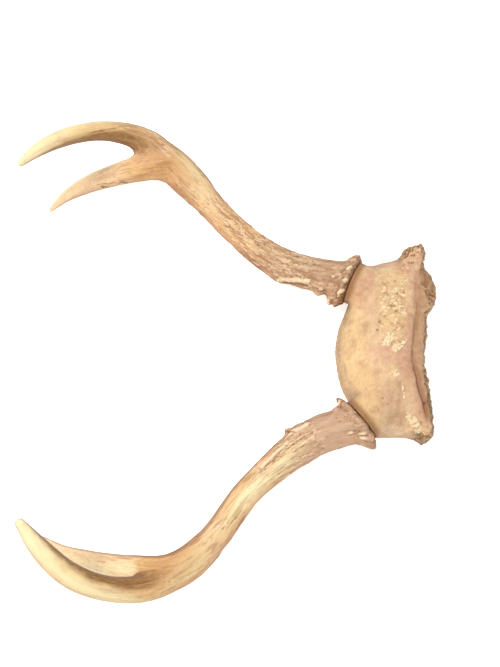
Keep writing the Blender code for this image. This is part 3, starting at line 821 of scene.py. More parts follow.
skullForm = {
    "name": "sawn_skull",
    "nodes": ("skull_plate",),
    "seed": 83,
    "voxel": 0.00061,
    "outline": [  # x, y from the nose, turning to the animal's left
        (0.1302, 0.0045), (0.1318, 0.0190), (0.1336, 0.0262), (0.1386, 0.0296), (0.1400, 0.0370),
        (0.1398, 0.0460), (0.1362, 0.0535), (0.1336, 0.0625), (0.1354, 0.0715), (0.1338, 0.0762),
        (0.1287, 0.0755), (0.1225, 0.0731), (0.1185, 0.0690), (0.1135, 0.0652), (0.105, 0.0638),
        (0.093, 0.0635), (0.084, 0.049), (0.077, 0.032), (0.0705, 0.018), (0.0675, 0.004),
        (0.0675, -0.010), (0.070, -0.025), (0.077, -0.040), (0.088, -0.060), (0.100, -0.0610),
        (0.1115, -0.0620), (0.1187, -0.0636), (0.1240, -0.0670), (0.1276, -0.0648),
        (0.1290, -0.0590), (0.1296, -0.0480), (0.1290, -0.0300), (0.1276, -0.0140),
        (0.1288, -0.0055),
    ],
    "centre": (0.102, 0.002),
    "halfWidth": 0.065,
    "height": 0.036,
    "sideFall": 0.007,
    "browFall": 0.006,
    "browFromTo": (0.085, 0.128),
    "edges": (0.004, 0.014),  # height of the outer edge at the braincase and at the brow
    "roundness": (2.4, 7.4),
    "edgeFade": (0.93, 1.0),
    "stepLine": [  # the crack along the brow, and the bone set a little lower in front of it
        (0.1262, 0.0460), (0.1241, 0.0379), (0.1242, 0.0271), (0.1236, 0.0216), (0.1220, 0.0150),
        (0.1190, 0.0037), (0.1170, -0.0050), (0.1167, -0.0132), (0.1180, -0.0190),
        (0.1190, -0.0270), (0.1205, -0.0360), (0.1230, -0.0470), (0.1242, -0.0554),
    ],
    "stepDrop": 0.0030,
    "stepWidth": 0.0025,
    "stepEnds": (0.049, 0.059),
    "crackStrength": [(-0.060, 0.5), (-0.045, 1.0), (-0.020, 0.9), (-0.008, 0.4), (-0.002, 0.3),
                      (0.002, 0.5), (0.012, 0.6), (0.030, 0.5), (0.040, 0.45), (0.046, 0.2)],
    "sideCrack": [(0.1250, 0.0405), (0.1285, 0.0395), (0.1330, 0.0358), (0.1385, 0.0350)],
    "roughEdge": [  # y, millimetres of broken bone along the front
        (-0.066, 2.4), (-0.058, 4.0), (-0.050, 7.6), (-0.040, 8.2), (-0.024, 7.4), (-0.014, 2.6),
        (0.020, 2.2), (0.027, 7.0), (0.034, 12.0), (0.044, 13.5), (0.052, 11.0), (0.062, 8.5),
        (0.076, 6.0),
    ],
    "chips": [  # pale scuffs: from x, y to x, y, width
        (0.0980, -0.0024, 0.1036, 0.0044, 0.0026), (0.1050, -0.0058, 0.1104, 0.0004, 0.0026),
        (0.1012, 0.0042, 0.1030, 0.0062, 0.0010), (0.1044, 0.0010, 0.1066, 0.0030, 0.0011),
        (0.1078, 0.0052, 0.1098, 0.0066, 0.0009), (0.1068, 0.0152, 0.1090, 0.0128, 0.0010),
        (0.1075, -0.0300, 0.1078, -0.0395, 0.0008), (0.1000, -0.0222, 0.1045, -0.0236, 0.0018),
        (0.1010, -0.0190, 0.1046, -0.0210, 0.0007), (0.1110, -0.0510, 0.1148, -0.0548, 0.0026),
        (0.1155, -0.0570, 0.1172, -0.0600, 0.0022), (0.1100, -0.0585, 0.1112, -0.0590, 0.0009),
        (0.1105, 0.0420, 0.1140, 0.0450, 0.0010), (0.1120, 0.0340, 0.1150, 0.0320, 0.0012),
        (0.1085, 0.0225, 0.1125, 0.0200, 0.0014), (0.1185, 0.0560, 0.1200, 0.0540, 0.0009),
    ],
    "pits": [  # x, y, width
        (0.1021, 0.0339, 0.0010), (0.1094, 0.0335, 0.0014), (0.1146, 0.0351, 0.0012),
        (0.1061, 0.0247, 0.0013), (0.1075, 0.0205, 0.0011), (0.0996, 0.0171, 0.0010),
        (0.0958, 0.0135, 0.0010), (0.0932, 0.0078, 0.0009), (0.1212, 0.0660, 0.0012),
        (0.1218, 0.0600, 0.0012), (0.1190, -0.0560, 0.0012), (0.0965, -0.0440, 0.0008),
        (0.0925, -0.0400, 0.0008), (0.1260, -0.0294, 0.0012), (0.1240, -0.0424, 0.0016),
        (0.1276, -0.0473, 0.0015), (0.1278, -0.0358, 0.0012), (0.1246, 0.0658, 0.0012),
        (0.1289, 0.0674, 0.0011), (0.1240, 0.0600, 0.0010), (0.1184, 0.0575, 0.0010),
    ],
    "blushes": [  # soft pink-brown patches: x, y, size along x and y, strength
        (0.1120, -0.0180, 0.0070, 0.0150, 0.9), (0.0940, -0.0400, 0.0085, 0.0090, 0.55),
        (0.0850, 0.0370, 0.0080, 0.0100, 0.8), (0.0990, -0.0110, 0.0060, 0.0050, 0.5),
        (0.1180, 0.0560, 0.0070, 0.0080, 0.7), (0.1140, 0.0180, 0.0030, 0.0200, 0.6),
        (0.1200, -0.0500, 0.0060, 0.0090, 0.6), (0.0860, -0.0200, 0.0050, 0.0070, 0.3),
    ],
    "lumps": [  # x, y, height, width
        (0.130, 0.071, 0.0050, 0.0075), (0.134, 0.046, 0.0040, 0.0070),
        (0.134, 0.024, 0.0020, 0.0060), (0.118, -0.051, 0.0030, 0.0060),
        (0.125, -0.062, 0.0035, 0.0060), (0.129, -0.030, 0.0020, 0.0060),
        (0.111, 0.032, -0.0020, 0.0050), (0.119, 0.042, -0.0025, 0.0050),
        (0.111, 0.008, 0.0012, 0.0060), (0.093, -0.048, -0.0020, 0.0050),
    ],
    "hollowCentre": (0.098, -0.001),
    "hollowHalf": (0.0265, 0.033),
    "hollowHeight": 0.023,
    "orbits": [(0.132, 0.049), (0.130, -0.043)],
    "orbitHalf": (0.022, 0.019, 0.009),
    "pedicle": [  # distance back from the burr, drop of the axis, radius
        (0.000, 0.000, 0.0155), (0.003, 0.000, 0.0151), (0.007, 0.000, 0.0155),
        (0.013, 0.001, 0.0155), (0.020, 0.003, 0.0140), (0.029, 0.006, 0.0114),
        (0.037, 0.009, 0.0072),
    ],
    "pedicleWave": (3, 0.0, 0.5, 0.03),
    "burrGap": 0.0003,
    "mound": {"voxel": 0.0018, "shrink": 0.0008, "rounds": 18, "blur": 24, "soft": 0.0005},
    "jag": (0.0005, 0.0032),  # height and size of the front edge's teeth
    "bites": (0.0011, 0.0075),  # depth and size of what is broken out of it
    "grooveDepth": 0.0013,  # the dark crack at the foot of the step
    "grooveWidth": 0.0011,
    "grooveSoft": (0.0005, 0.0024),  # depth and width of the softer hollow about it
    "browRidge": (0.0007, 0.0050, 0.0030),  # height, how far behind the crack, width
    "ledgeHeight": 0.0011,  # the broken bone along the front
    "ledgeFrom": (0.110, 0.120),  # where it starts along X
    "poreDepth": 0.0014,
    "scaleHeight": 0.0006,  # the flaky zone on the animal's left
    "scaleSize": (0.0040, 0.0019, 0.0040),
    "bandBack": (0.090, 0.101),  # where the zone fades in and out, along X
    "bandFront": (-0.0095, -0.0055),  # from the crack
    "bandRight": (-0.004, 0.006),  # along Y
    "bandLeft": (0.046, 0.062),
    "patches": [  # smaller flaky patches: x, y, size
        (0.116, -0.054, 0.007), (0.122, -0.060, 0.006), (0.102, -0.022, 0.005),
        (0.104, 0.000, 0.006),
    ],
    "pitDepth": 0.0011,
    "unevenness": (0.00026, 0.0085),  # height and size, everywhere but under the plate
    "fineness": (0.00008, 0.0016),
    "notches": (0.00022, 0.00062),  # depth and spacing, on the rim of the braincase
    "rimBack": (0.074, 0.080),  # where that rim ends, along X and up
    "rimUp": (0.012, 0.022),
    "sponge": (0.0008, 0.0021),  # depth and spacing of the sawn face's pores
    "sawLines": (0.00005, 0.00035),
    "veinDepth": 0.0005,  # in the braincase
    "hollowSize": 0.00025,
    "burrShade": [(0.85, 0.0050, 4), (0.12, 0.012, 2)],  # painted shadow behind the burr: strength, reach, power
    "burrShadeEnd": (0.017, 0.032),  # from the antler's axis
    "seatBehind": (0.0005, 0.003),  # no relief on the face that the burr sits on
    "seatEnd": (0.016, 0.020),
    "flowFrom": (0.0035, 0.012),  # behind the burr, where the pedicle starts to flow out
    "flowEnd": (0.042, 0.058),
    "flowOffAxis": (0.024, 0.042),
    "flowUp": (0.0015, 0.005),  # above the sawn face
    "flowRounds": 120,  # how softly the pedicles run into the forehead
}


def stepPlace(x, y):
    # how far in front of the broken step a point lies, and 1 in the middle, 0 past its ends
    lineX, lineY = np.array(skullForm["stepLine"][::-1]).T
    return x - np.interp(y, lineY, lineX), fall(*skullForm["stepEnds"], np.abs(y))


def plateHeight(x, y, t):
    # edge + (crown - edge) sqrt(1 - t^power), less the step, plus the lumps h e^-(d/w)^2
    form = skullForm
    forward = ramp(*form["browFromTo"], x)
    edge = form["edges"][0] + (form["edges"][1] - form["edges"][0]) * forward
    crown = form["height"] - form["sideFall"] * ((y - form["centre"][1]) / form["halfWidth"]) ** 2
    crown = crown - form["browFall"] * forward
    power = form["roundness"][0] + (form["roundness"][1] - form["roundness"][0]) * forward
    height = edge + (crown - edge) * np.sqrt(np.clip(1.0 - t**power, 0.0, 1.0))
    front, middle = stepPlace(x, y)
    drop = ramp(-form["stepWidth"] / 2, form["stepWidth"] / 2, front) * middle
    height = height - form["stepDrop"] * drop * fall(*form["edgeFade"], t)
    for lumpX, lumpY, lumpHeight, width in form["lumps"]:
        off = ((x - lumpX) ** 2 + (y - lumpY) ** 2) / width**2
        height = height + lumpHeight * np.exp(-off)
    return height


def plateUnderside(x, y):
    # the saw's plane, z = 0, opened by the braincase and the two eye sockets, half ellipsoids
    form = skullForm
    deep = np.zeros(np.shape(x))
    hollows = [(form["hollowCentre"], (*form["hollowHalf"], form["hollowHeight"]))]
    hollows += [(centre, form["orbitHalf"]) for centre in form["orbits"]]
    for (cx, cy), (rx, ry, rz) in hollows:
        inside = 1.0 - ((x - cx) / rx) ** 2 - ((y - cy) / ry) ** 2
        deep = np.maximum(deep, rz * np.sqrt(np.maximum(inside, 0.0)))
    return deep


def plateOutline(around):
    # evenly spaced points along the closed curve through the outline
    form = skullForm
    closed = form["outline"][-2:] + form["outline"] + form["outline"][:3]
    points, distance = curveThrough([(x, y, 0.0) for x, y in closed])
    first, last = distance[2 * 24], distance[(2 + len(form["outline"])) * 24]
    at = np.linspace(first, last, around, endpoint=False)
    return np.stack([np.interp(at, distance, points[:, axis]) for axis in (0, 1)], axis=1)


def plateEdgeAway(x, y):
    # distance in from the outline, measured towards the plate's centre
    away = plateOutline(720) - np.array(skullForm["centre"])
    turn = np.arctan2(away[:, 1], away[:, 0])
    order = np.argsort(turn)
    cx, cy = skullForm["centre"]
    here = np.arctan2(y - cy, x - cx)
    reach = np.interp(here, turn[order], np.hypot(*away[order].T), period=2.0 * np.pi)
    return reach - np.hypot(x - cx, y - cy)


def plateGrid(around=420):
    # centre + t (outline - centre), z from plateHeight over the top and plateUnderside below
    form = skullForm
    outline = plateOutline(around)
    centre = np.array(form["centre"])
    out = unit(outline - centre)
    lifted = np.column_stack([outline, np.zeros(around)])
    jagHeight, jagSize = form["jag"]
    biteDepth, biteSize = form["bites"]
    jag = layeredNoise(lifted / jagSize, form["seed"], 3) * jagHeight
    jag = jag + scatteredBumps(lifted / biteSize, form["seed"] + 2, 0.6, 0.42) * -biteDepth
    outline = outline + out * (jag * ramp(0.112, 0.126, outline[:, 0]))[:, None]
    shares = np.sin(np.linspace(0.012, 1.0, 110) * np.pi / 2.0)
    rings = []
    for t in shares:
        at = centre + (outline - centre) * t
        rings.append(np.column_stack([at, plateHeight(at[:, 0], at[:, 1], t)]))
    top = rings[-1]
    under = plateUnderside(outline[:, 0], outline[:, 1])
    for t in (0.25, 0.5, 0.75):
        rings.append(np.column_stack([outline, top[:, 2] * (1.0 - t) + under * t]))
    for t in np.linspace(1.0, 0.012, 110):
        at = centre + (outline - centre) * t
        rings.append(np.column_stack([at, plateUnderside(at[:, 0], at[:, 1])]))
    crown = (*centre, float(plateHeight(*centre, 0.0)))
    inside = (*centre, float(plateUnderside(*centre)))
    points, quads, fans = closedGrid(np.array(rings), crown, inside)
    return points, quads[:, ::-1], fans[:, ::-1]


def pedicleGrid(antler, around=96):
    # rings burr - normal s, dropped and sized by the table, with a shallow three-sided wave
    form = skullForm
    normal = unit(np.array(antler["burrNormal"]))
    table, distance = curveThrough([(back, 0.0, 0.0, drop, r) for back, drop, r in form["pedicle"]])
    s = np.linspace(0.0, distance[-1], 64)
    drop, radius = (np.interp(s, distance, table[:, column]) for column in (3, 4))
    centre = np.array(antler["beam"][0][:3]) - normal * (s + form["burrGap"])[:, None]
    centre[:, 2] -= drop
    top = np.array([0.0, 0.0, 1.0])
    forward = -normal
    up = unit(top - forward * (forward @ top))
    side = np.cross(forward, up)
    swell = 1.0 + waves([form["pedicleWave"]], 0.0, anglesRound(around))
    rings = ringsRound(centre, up, side, radius[:, None] * swell)
    return closedGrid(rings, centre[0], centre[-1] + forward * 0.002)


def burrFace(points, antler):
    # how far each point lies behind the burr's plane, and how far from the antler's axis
    normal = unit(np.array(antler["burrNormal"]))
    away = points - np.array(antler["beam"][0][:3])
    behind = -(away @ normal)
    return behind, np.linalg.norm(away + behind[:, None] * normal, axis=1)


def segmentAway(x, y, x0, y0, x1, y1):
    # distance in plan to the line from (x0, y0) to (x1, y1)
    dx, dy = x1 - x0, y1 - y0
    t = np.clip(((x - x0) * dx + (y - y0) * dy) / (dx**2 + dy**2), 0.0, 1.0)
    return np.hypot(x - x0 - t * dx, y - y0 - t * dy)


def skullCracks(points, top):
    # e^-(d/width)^2 about the crack behind the front strip, narrow and wide, and about the one
    # across the lobe
    form, seed = skullForm, skullForm["seed"]
    x, y, _ = points.T
    wobble = 0.0005 * layeredNoise(points / (0.02, 0.004, 0.02), seed + 1, 2)
    front, middle = stepPlace(x + wobble, y)
    strength = np.interp(y, *np.array(form["crackStrength"]).T)
    width = form["grooveWidth"] * (1.0 + 0.35 * layeredNoise(points / 0.006, seed + 3, 2))
    crack = bell(front, width) * middle * strength
    for start, end in chainLinks(form["sideCrack"]):
        away = segmentAway(x + wobble, y + wobble, *start, *end)
        crack = np.maximum(crack, 0.6 * bell(away, 0.0006))
    soft = bell(front, form["grooveSoft"][1]) * middle * strength
    return crack * top, soft * top, front, middle


def turnedAbout(points, cosine, sine):
    # the points turned about Z
    return points @ np.array([[cosine, -sine, 0.0], [sine, cosine, 0.0], [0.0, 0.0, 1.0]])


def flakyBand(x, y, front, top):
    # the band behind the crack, on the animal's left, and small patches elsewhere
    form = skullForm
    band = ramp(*form["bandBack"], x) * fall(*form["bandFront"], front)
    band = band * ramp(*form["bandRight"], y) * fall(*form["bandLeft"], y)
    for patchX, patchY, size in form["patches"]:
        near = np.exp(-((x - patchX) ** 2 + (y - patchY) ** 2) / size**2)
        band = np.maximum(band, 0.9 * near)
    return band * top


def paleChips(points, stretched, bent, top):
    # the scuffs of the table, with ragged edges, broken up by slanting scales
    x, y, _ = points.T
    form, seed = skullForm, skullForm["seed"]
    ragged = 1.0 + 1.1 * layeredNoise(stretched / (0.0008, 0.0014, 0.001), seed + 16, 2)
    ragged = np.clip(ragged, 0.45, 3.0)
    chips = np.zeros(len(x))
    for x0, y0, x1, y1, width in form["chips"]:
        away = segmentAway(x, y, x0, y0, x1, y1) / width / (0.75 + 0.25 * ragged)
        chips = np.maximum(chips, fall(0.75, 1.25, away))
    diagonal = turnedAbout(points, 0.7, 0.7)
    piece, gap = scalePattern((diagonal + bent) / (0.0050, 0.0020, 0.0040), seed + 15)
    return chips * top * ramp(0.14, 0.26, piece) * ramp(0.0, 0.16, gap), ragged


def blushShade(points, top):
    # the strongest of strength e^-(dx/size)^2 - (dy/size)^2 over the patches, made uneven
    x, y, _ = points.T
    blush = np.zeros(len(x))
    for blushX, blushY, sizeX, sizeY, strength in skullForm["blushes"]:
        near = np.exp(-(((x - blushX) / sizeX) ** 2) - ((y - blushY) / sizeY) ** 2)
        blush = np.maximum(blush, strength * near)
    uneven = 1.0 + 0.5 * layeredNoise(points / 0.009, skullForm["seed"] + 45, 3)
    return np.clip(blush * uneven, 0.0, 1.0) * top


def skullRelief(points, normals):
    # cracks, broken front edge, pits, scuffs, sawn face; all as height over the plain skin
    form, seed = skullForm, skullForm["seed"]
    x, y, z = points.T
    top = ramp(0.15, 0.55, normals[:, 2])
    under = ramp(0.15, 0.55, -normals[:, 2])
    crack, groove, front, middle = skullCracks(points, top)
    strip = ramp(0.0, 0.0012, front) * middle * top
    coarse = layeredNoise(points / 0.0036, seed + 5, 3)
    reach = 0.001 * tableAt(y, form["roughEdge"])
    edgeAway = plateEdgeAway(x, y) + 0.0012 * layeredNoise(points / 0.004, seed + 7, 2)
    ledge = fall(-0.0012, 0.0012, edgeAway - reach) * ramp(*form["ledgeFrom"], x) * (1.0 - under)
    pores = scatteredBumps(points / 0.0034, seed + 9, 0.42, 0.42) * ledge
    relief = form["ledgeHeight"] * coarse * ledge - form["poreDepth"] * pores
    relief = relief - form["grooveDepth"] * crack - form["grooveSoft"][0] * groove
    ridgeHeight, ridgeBehind, ridgeWidth = form["browRidge"]
    relief = relief + ridgeHeight * bell(front + ridgeBehind, ridgeWidth) * middle * top
    band = flakyBand(x, y, front, top)
    stretched = turnedAbout(points, 0.97, 0.24)
    bent = 0.0012 * layeredNoise(points / 0.004, seed + 13, 2)[:, None] * (1.0, -0.8, 0.0)
    scale, seam = scalePattern((stretched + bent) / form["scaleSize"], seed + 14)
    flakes = ramp(0.40, 0.62, scale) * ramp(0.02, 0.28, seam) * band * ramp(-0.7, 0.1, coarse)
    seams = fall(0.0, 0.22, seam) * band * ramp(-0.3, 0.6, coarse)
    chips, ragged = paleChips(points, stretched, bent, top)
    relief = relief + form["scaleHeight"] * (
        band * (0.7 * (scale - 0.5) + 0.25 * ramp(0.0, 0.35, seam) + 0.5 * coarse) + 0.8 * chips
    )
    pits = scatteredBumps(points / (0.0074, 0.0056, 0.0064), seed + 17, 0.20, 0.16) * 0.5 * band * top
    for pitX, pitY, width in form["pits"]:
        away = np.hypot(0.7 * (x - pitX), 1.2 * (y - pitY)) / width * ragged
        pits = np.maximum(pits, fall(0.2, 1.2, away) * top)
    relief = relief - form["pitDepth"] * pits
    # gentle unevenness, and short notches across the rim of the braincase
    height, size = form["unevenness"]
    relief = relief + height * layeredNoise(points / size, seed + 21, 3) * (1.0 - under)
    height, size = form["fineness"]
    relief = relief + height * layeredNoise(points / size, seed + 27, 2)
    rim = fall(*form["rimBack"], x) * fall(*form["rimUp"], z) * (1.0 - under)
    depth, spacing = form["notches"]
    notches = np.clip(np.cos(y / spacing + 3.0 * softNoise(points / 0.006, seed + 31)), 0.0, 1.0)
    relief = relief - depth * notches**3 * rim
    # the sawn face: open pores of spongy bone, and fine saw lines; veins in the braincase
    sawn = under * fall(0.0006, 0.0016, z)
    depth, spacing = form["sponge"]
    sponge = scatteredBumps(points / spacing, seed + 35, 0.6, 0.42) * sawn
    lineHeight, spacing = form["sawLines"]
    relief = relief - depth * sponge + lineHeight * np.cos((x + 0.25 * y) / spacing) * sawn
    vault = under * ramp(0.002, 0.006, z)
    veins = 1.0 - np.abs(layeredNoise(points / (0.016, 0.011, 0.016), seed + 41, 2))
    relief = relief - form["veinDepth"] * np.clip(veins * 4.0 - 3.1, 0.0, 1.0) * vault
    masks = {
        "blush": blushShade(points, top),
        "pale": np.clip(0.8 * flakes + chips, 0.0, 1.0),
        "dark": np.clip(0.5 * crack + 0.85 * pores + 0.65 * pits + 0.8 * sponge, 0.0, 1.0),
        "seams": seams,
        "groove": groove,
        "band": band,
        "ledge": ledge,
        "strip": strip,
        "sawn": sawn,
    }
    return relief, masks


def aboutBurrs(points, shareAt):
    # the higher of the two burrs' shares, each from how far behind its plane and off its axis
    return np.maximum(*(shareAt(*burrFace(points, antler)) for antler in (leftAntler, rightAntler)))


def pedicleShare(behind, axisAway):
    # 1 from a little behind the burr's plane to the middle of the forehead, round the axis
    form = skullForm
    near = ramp(*form["flowFrom"], behind) * fall(*form["flowEnd"], behind)
    return near * fall(*form["flowOffAxis"], axisAway)


def pedicleFlow(points):
    # 1 where the pedicles run into the forehead, 0 at the burrs' seats and by the sawn face
    return aboutBurrs(points, pedicleShare) * ramp(*skullForm["flowUp"], points[:, 2])


def burrShading(behind, axisAway):
    # painted shadow: the dark ring of the pedicle right behind the burr
    (near, reach, power), (far, farReach, farPower) = skullForm["burrShade"]
    close = near * bell(behind, reach, power) + far * bell(behind, farReach, farPower)
    return close * fall(*skullForm["burrShadeEnd"], axisAway)


def burrSeat(behind, axisAway):
    # 1 on the face that the burr sits on
    return fall(*skullForm["seatBehind"], behind) * fall(*skullForm["seatEnd"], axisAway)


def pedicleMound(grids):
    # a coarse skin whose hollows round the pedicles fill up: where a blur of it lies outside it
    # by d, it rises (d + sqrt(d^2 + soft^2)) / 2, round after round; elsewhere it shrinks
    form = skullForm["mound"]
    points, quads = fusedSkin(grids, form["voxel"])
    normals = skinNormals(points, quads)
    flow = pedicleFlow(points) * ramp(-0.25, 0.1, normals[:, 2])
    points = points - form["shrink"] * (1.0 - flow)[:, None] * normals
    for _ in range(form["rounds"]):
        normals = skinNormals(points, quads)
        away = ((blurred(points, quads, form["blur"], 0.9) - points) * normals).sum(axis=1)
        rise = 0.5 * (away + np.sqrt(away**2 + form["soft"] ** 2)) * flow
        points = points + rise[:, None] * normals
    return points, quads, np.empty((0, 3), int)


def makeSkull():
    form = skullForm
    grids = [plateGrid(), pedicleGrid(leftAntler), pedicleGrid(rightAntler)]
    points, quads = fusedSkin([*grids, pedicleMound(grids)], form["voxel"])
    flow, burrShade = pedicleFlow(points), aboutBurrs(points, burrShading)
    points = blurred(points, quads, form["flowRounds"], 0.6 * flow)
    points = blurred(points, quads, 2, 0.3)
    normals = skinNormals(points, quads)
    relief, masks = skullRelief(points, normals)
    points = points + (relief * (1.0 - aboutBurrs(points, burrSeat)))[:, None] * normals
    points[:, 2] = np.maximum(points[:, 2], 0.0)
    obj = meshObject(form["name"], points, quads)
    hollow = hollowness(points, quads, form["hollowSize"]) * (1.0 - 0.8 * flow)
    # painted shade on the sides turned from the light
    sides = turnedAwayShading(points, quads)
    storeValues(obj, hollow=hollow, burrShade=burrShade, sides=sides, **masks)
    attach(obj, "root")
    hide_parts(*form["nodes"])
    print(form["name"], len(points), "points", 2 * len(quads), "triangles")
    return obj


# materials


def colour(red, green, blue):
    # a colour as seen on a screen, 0 to 255, turned into light: ((c + 0.055) / 1.055)^2.4
    c = np.array([red, green, blue]) / 255.0
    light = np.where(c <= 0.04045, c / 12.92, ((c + 0.055) / 1.055) ** 2.4)
    return (*(float(v) for v in light), 1.0)


def addNode(tree, kind, inputs=None, **settings):
    # one node; an input is a number, a colour or another node's output
    node = tree.nodes.new(kind)
    for key, value in settings.items():
        setattr(node, key, value)
    for key, value in (inputs or {}).items():
        plug(tree, node.inputs[key], value)
    return node


def math(tree, operation, *values, clamp=False):
    inputs = dict(enumerate(values))
    return addNode(tree, "ShaderNodeMath", inputs, operation=operation, use_clamp=clamp).outputs[0]


def times(tree, first, *others):
    # the product of two values or more
    for other in others:
        first = math(tree, "MULTIPLY", first, other)
    return first


def plug(tree, socket, value):
    if isinstance(value, bpy.types.NodeSocket):
        tree.links.new(value, socket)
    else:
        socket.default_value = value


def mixColour(tree, share, first, second):
    inputs = {0: share, 6: first, 7: second}
    return addNode(tree, "ShaderNodeMix", inputs, data_type="RGBA").outputs[2]


def over(tree, base, shade, mask, amount=1.0):
    # base with another colour laid over it, as strongly as mask times amount
    share = math(tree, "MULTIPLY", mask, amount, clamp=True)
    return mixColour(tree, share, base, shade)


def spread(tree, value, low, high, newLow=0.0, newHigh=1.0):
    # a value between low and high, moved to between newLow and newHigh, softly
    inputs = dict(enumerate((value, low, high, newLow, newHigh)))
    return addNode(tree, "ShaderNodeMapRange", inputs, interpolation_type="SMOOTHSTEP").outputs[0]


def attribute(tree, name, vector=False):
    node = addNode(tree, "ShaderNodeAttribute", attribute_name=name)
    return node.outputs["Vector" if vector else "Fac"]


def seededNoise(tree, place, seed, scale, roughness, distortion=0.0):
    inputs = {
        "Vector": place, "W": seed, "Scale": scale, "Detail": 3.0, "Roughness": roughness,
        "Distortion": distortion,
    }
    return addNode(tree, "ShaderNodeTexNoise", inputs, noise_dimensions="4D").outputs["Fac"]


def newGroup(name, inputs, outputs):
    # a node group with the named inputs and outputs, which are listed by their kinds
    group = bpy.data.node_groups.new(name, "ShaderNodeTree")
    kinds = {"value": "NodeSocketFloat", "colour": "NodeSocketColor", "vector": "NodeSocketVector"}
    for way, sockets in (("INPUT", inputs), ("OUTPUT", outputs)):
        for kind, names in sockets.items():
            for socket in names:
                group.interface.new_socket(socket, in_out=way, socket_type=kinds[kind])
    return group, group.nodes.new("NodeGroupInput").outputs, group.nodes.new("NodeGroupOutput").inputs


def useGroup(tree, group, **inputs):
    return addNode(tree, "ShaderNodeGroup", inputs, node_tree=group).outputs


def makeGrainGroup():
    # broad streaks and fine fibres, both stretched along the third axis of Place
    group, given, out = newGroup(
        "boneGrain",
        {"vector": ["Place"], "value": ["Across", "Lengthwise", "Seed"]},
        {"value": ["Streaks", "Fibres", "Height"]},
    )
    sizes = {0: given["Across"], 1: given["Across"], 2: given["Lengthwise"]}
    sizes = addNode(group, "ShaderNodeCombineXYZ", sizes).outputs[0]
    inputs = {0: given["Place"], 1: sizes}
    place = addNode(group, "ShaderNodeVectorMath", inputs, operation="MULTIPLY").outputs[0]
    broad = seededNoise(group, place, given["Seed"], 1.0, 0.55, 0.35)
    fine = seededNoise(group, place, given["Seed"], 3.4, 0.6, 0.2)
    plug(group, out["Streaks"], spread(group, broad, 0.34, 0.66))
    plug(group, out["Fibres"], spread(group, fine, 0.32, 0.68))
    height = math(group, "ADD", times(group, broad, 0.6), times(group, fine, 0.5))
    plug(group, out["Height"], height)
    return group


def makeHollowGroup():
    # dirt where the surface lies low, and a worn pale top where it stands proud
    group, given, out = newGroup(
        "hollowTint",
        {"colour": ["Base", "Dirt", "Worn"], "value": ["Hollow", "DirtShare", "WornShare"]},
        {"colour": ["Colour"]},
    )
    low = spread(group, given["Hollow"], -0.05, -0.75)
    high = spread(group, given["Hollow"], 0.10, 0.90)
    dirty = over(group, given["Base"], given["Dirt"], low, given["DirtShare"])
    plug(group, out["Colour"], over(group, dirty, given["Worn"], high, given["WornShare"]))
    return group


def makePoreGroup():
    # small dark pores: a share of the cells of a Voronoi pattern has a dot in its middle
    group, given, out = newGroup(
        "bonePores", {"vector": ["Place"], "value": ["Scale", "Share", "Size"]}, {"value": ["Mask"]}
    )
    inputs = {"Vector": given["Place"], "Scale": given["Scale"]}
    cells = addNode(group, "ShaderNodeTexVoronoi", inputs).outputs
    chance = addNode(group, "ShaderNodeSeparateColor", {0: cells["Color"]}).outputs[0]
    kept = math(group, "LESS_THAN", chance, given["Share"])
    plug(group, out["Mask"], times(group, kept, spread(group, cells["Distance"], given["Size"], 0.0)))
    return group


def makeDriftGroup():
    # the colour drifts towards two others in soft clouds
    group, given, out = newGroup(
        "colourDrift",
        {"colour": ["Base", "First", "Second"], "vector": ["Place"], "value": ["Scale", "Seed", "Share"]},
        {"colour": ["Colour"]},
    )
    clouds = seededNoise(group, given["Place"], given["Seed"], given["Scale"], 0.55)
    first, second = spread(group, clouds, 0.50, 0.68), spread(group, clouds, 0.48, 0.30)
    mixed = over(group, given["Base"], given["First"], first, given["Share"])
    plug(group, out["Colour"], over(group, mixed, given["Second"], second, given["Share"]))
    return group


boneGrain, hollowTint, bonePores, colourDrift = (
    makeGrainGroup(), makeHollowGroup(), makePoreGroup(), makeDriftGroup()
)

# In both finishes a drift has a scale, seed, two colours and a share; a layer has a colour, the
# mask it goes by, how strong it is, and the mask's values where it starts and where it is full.

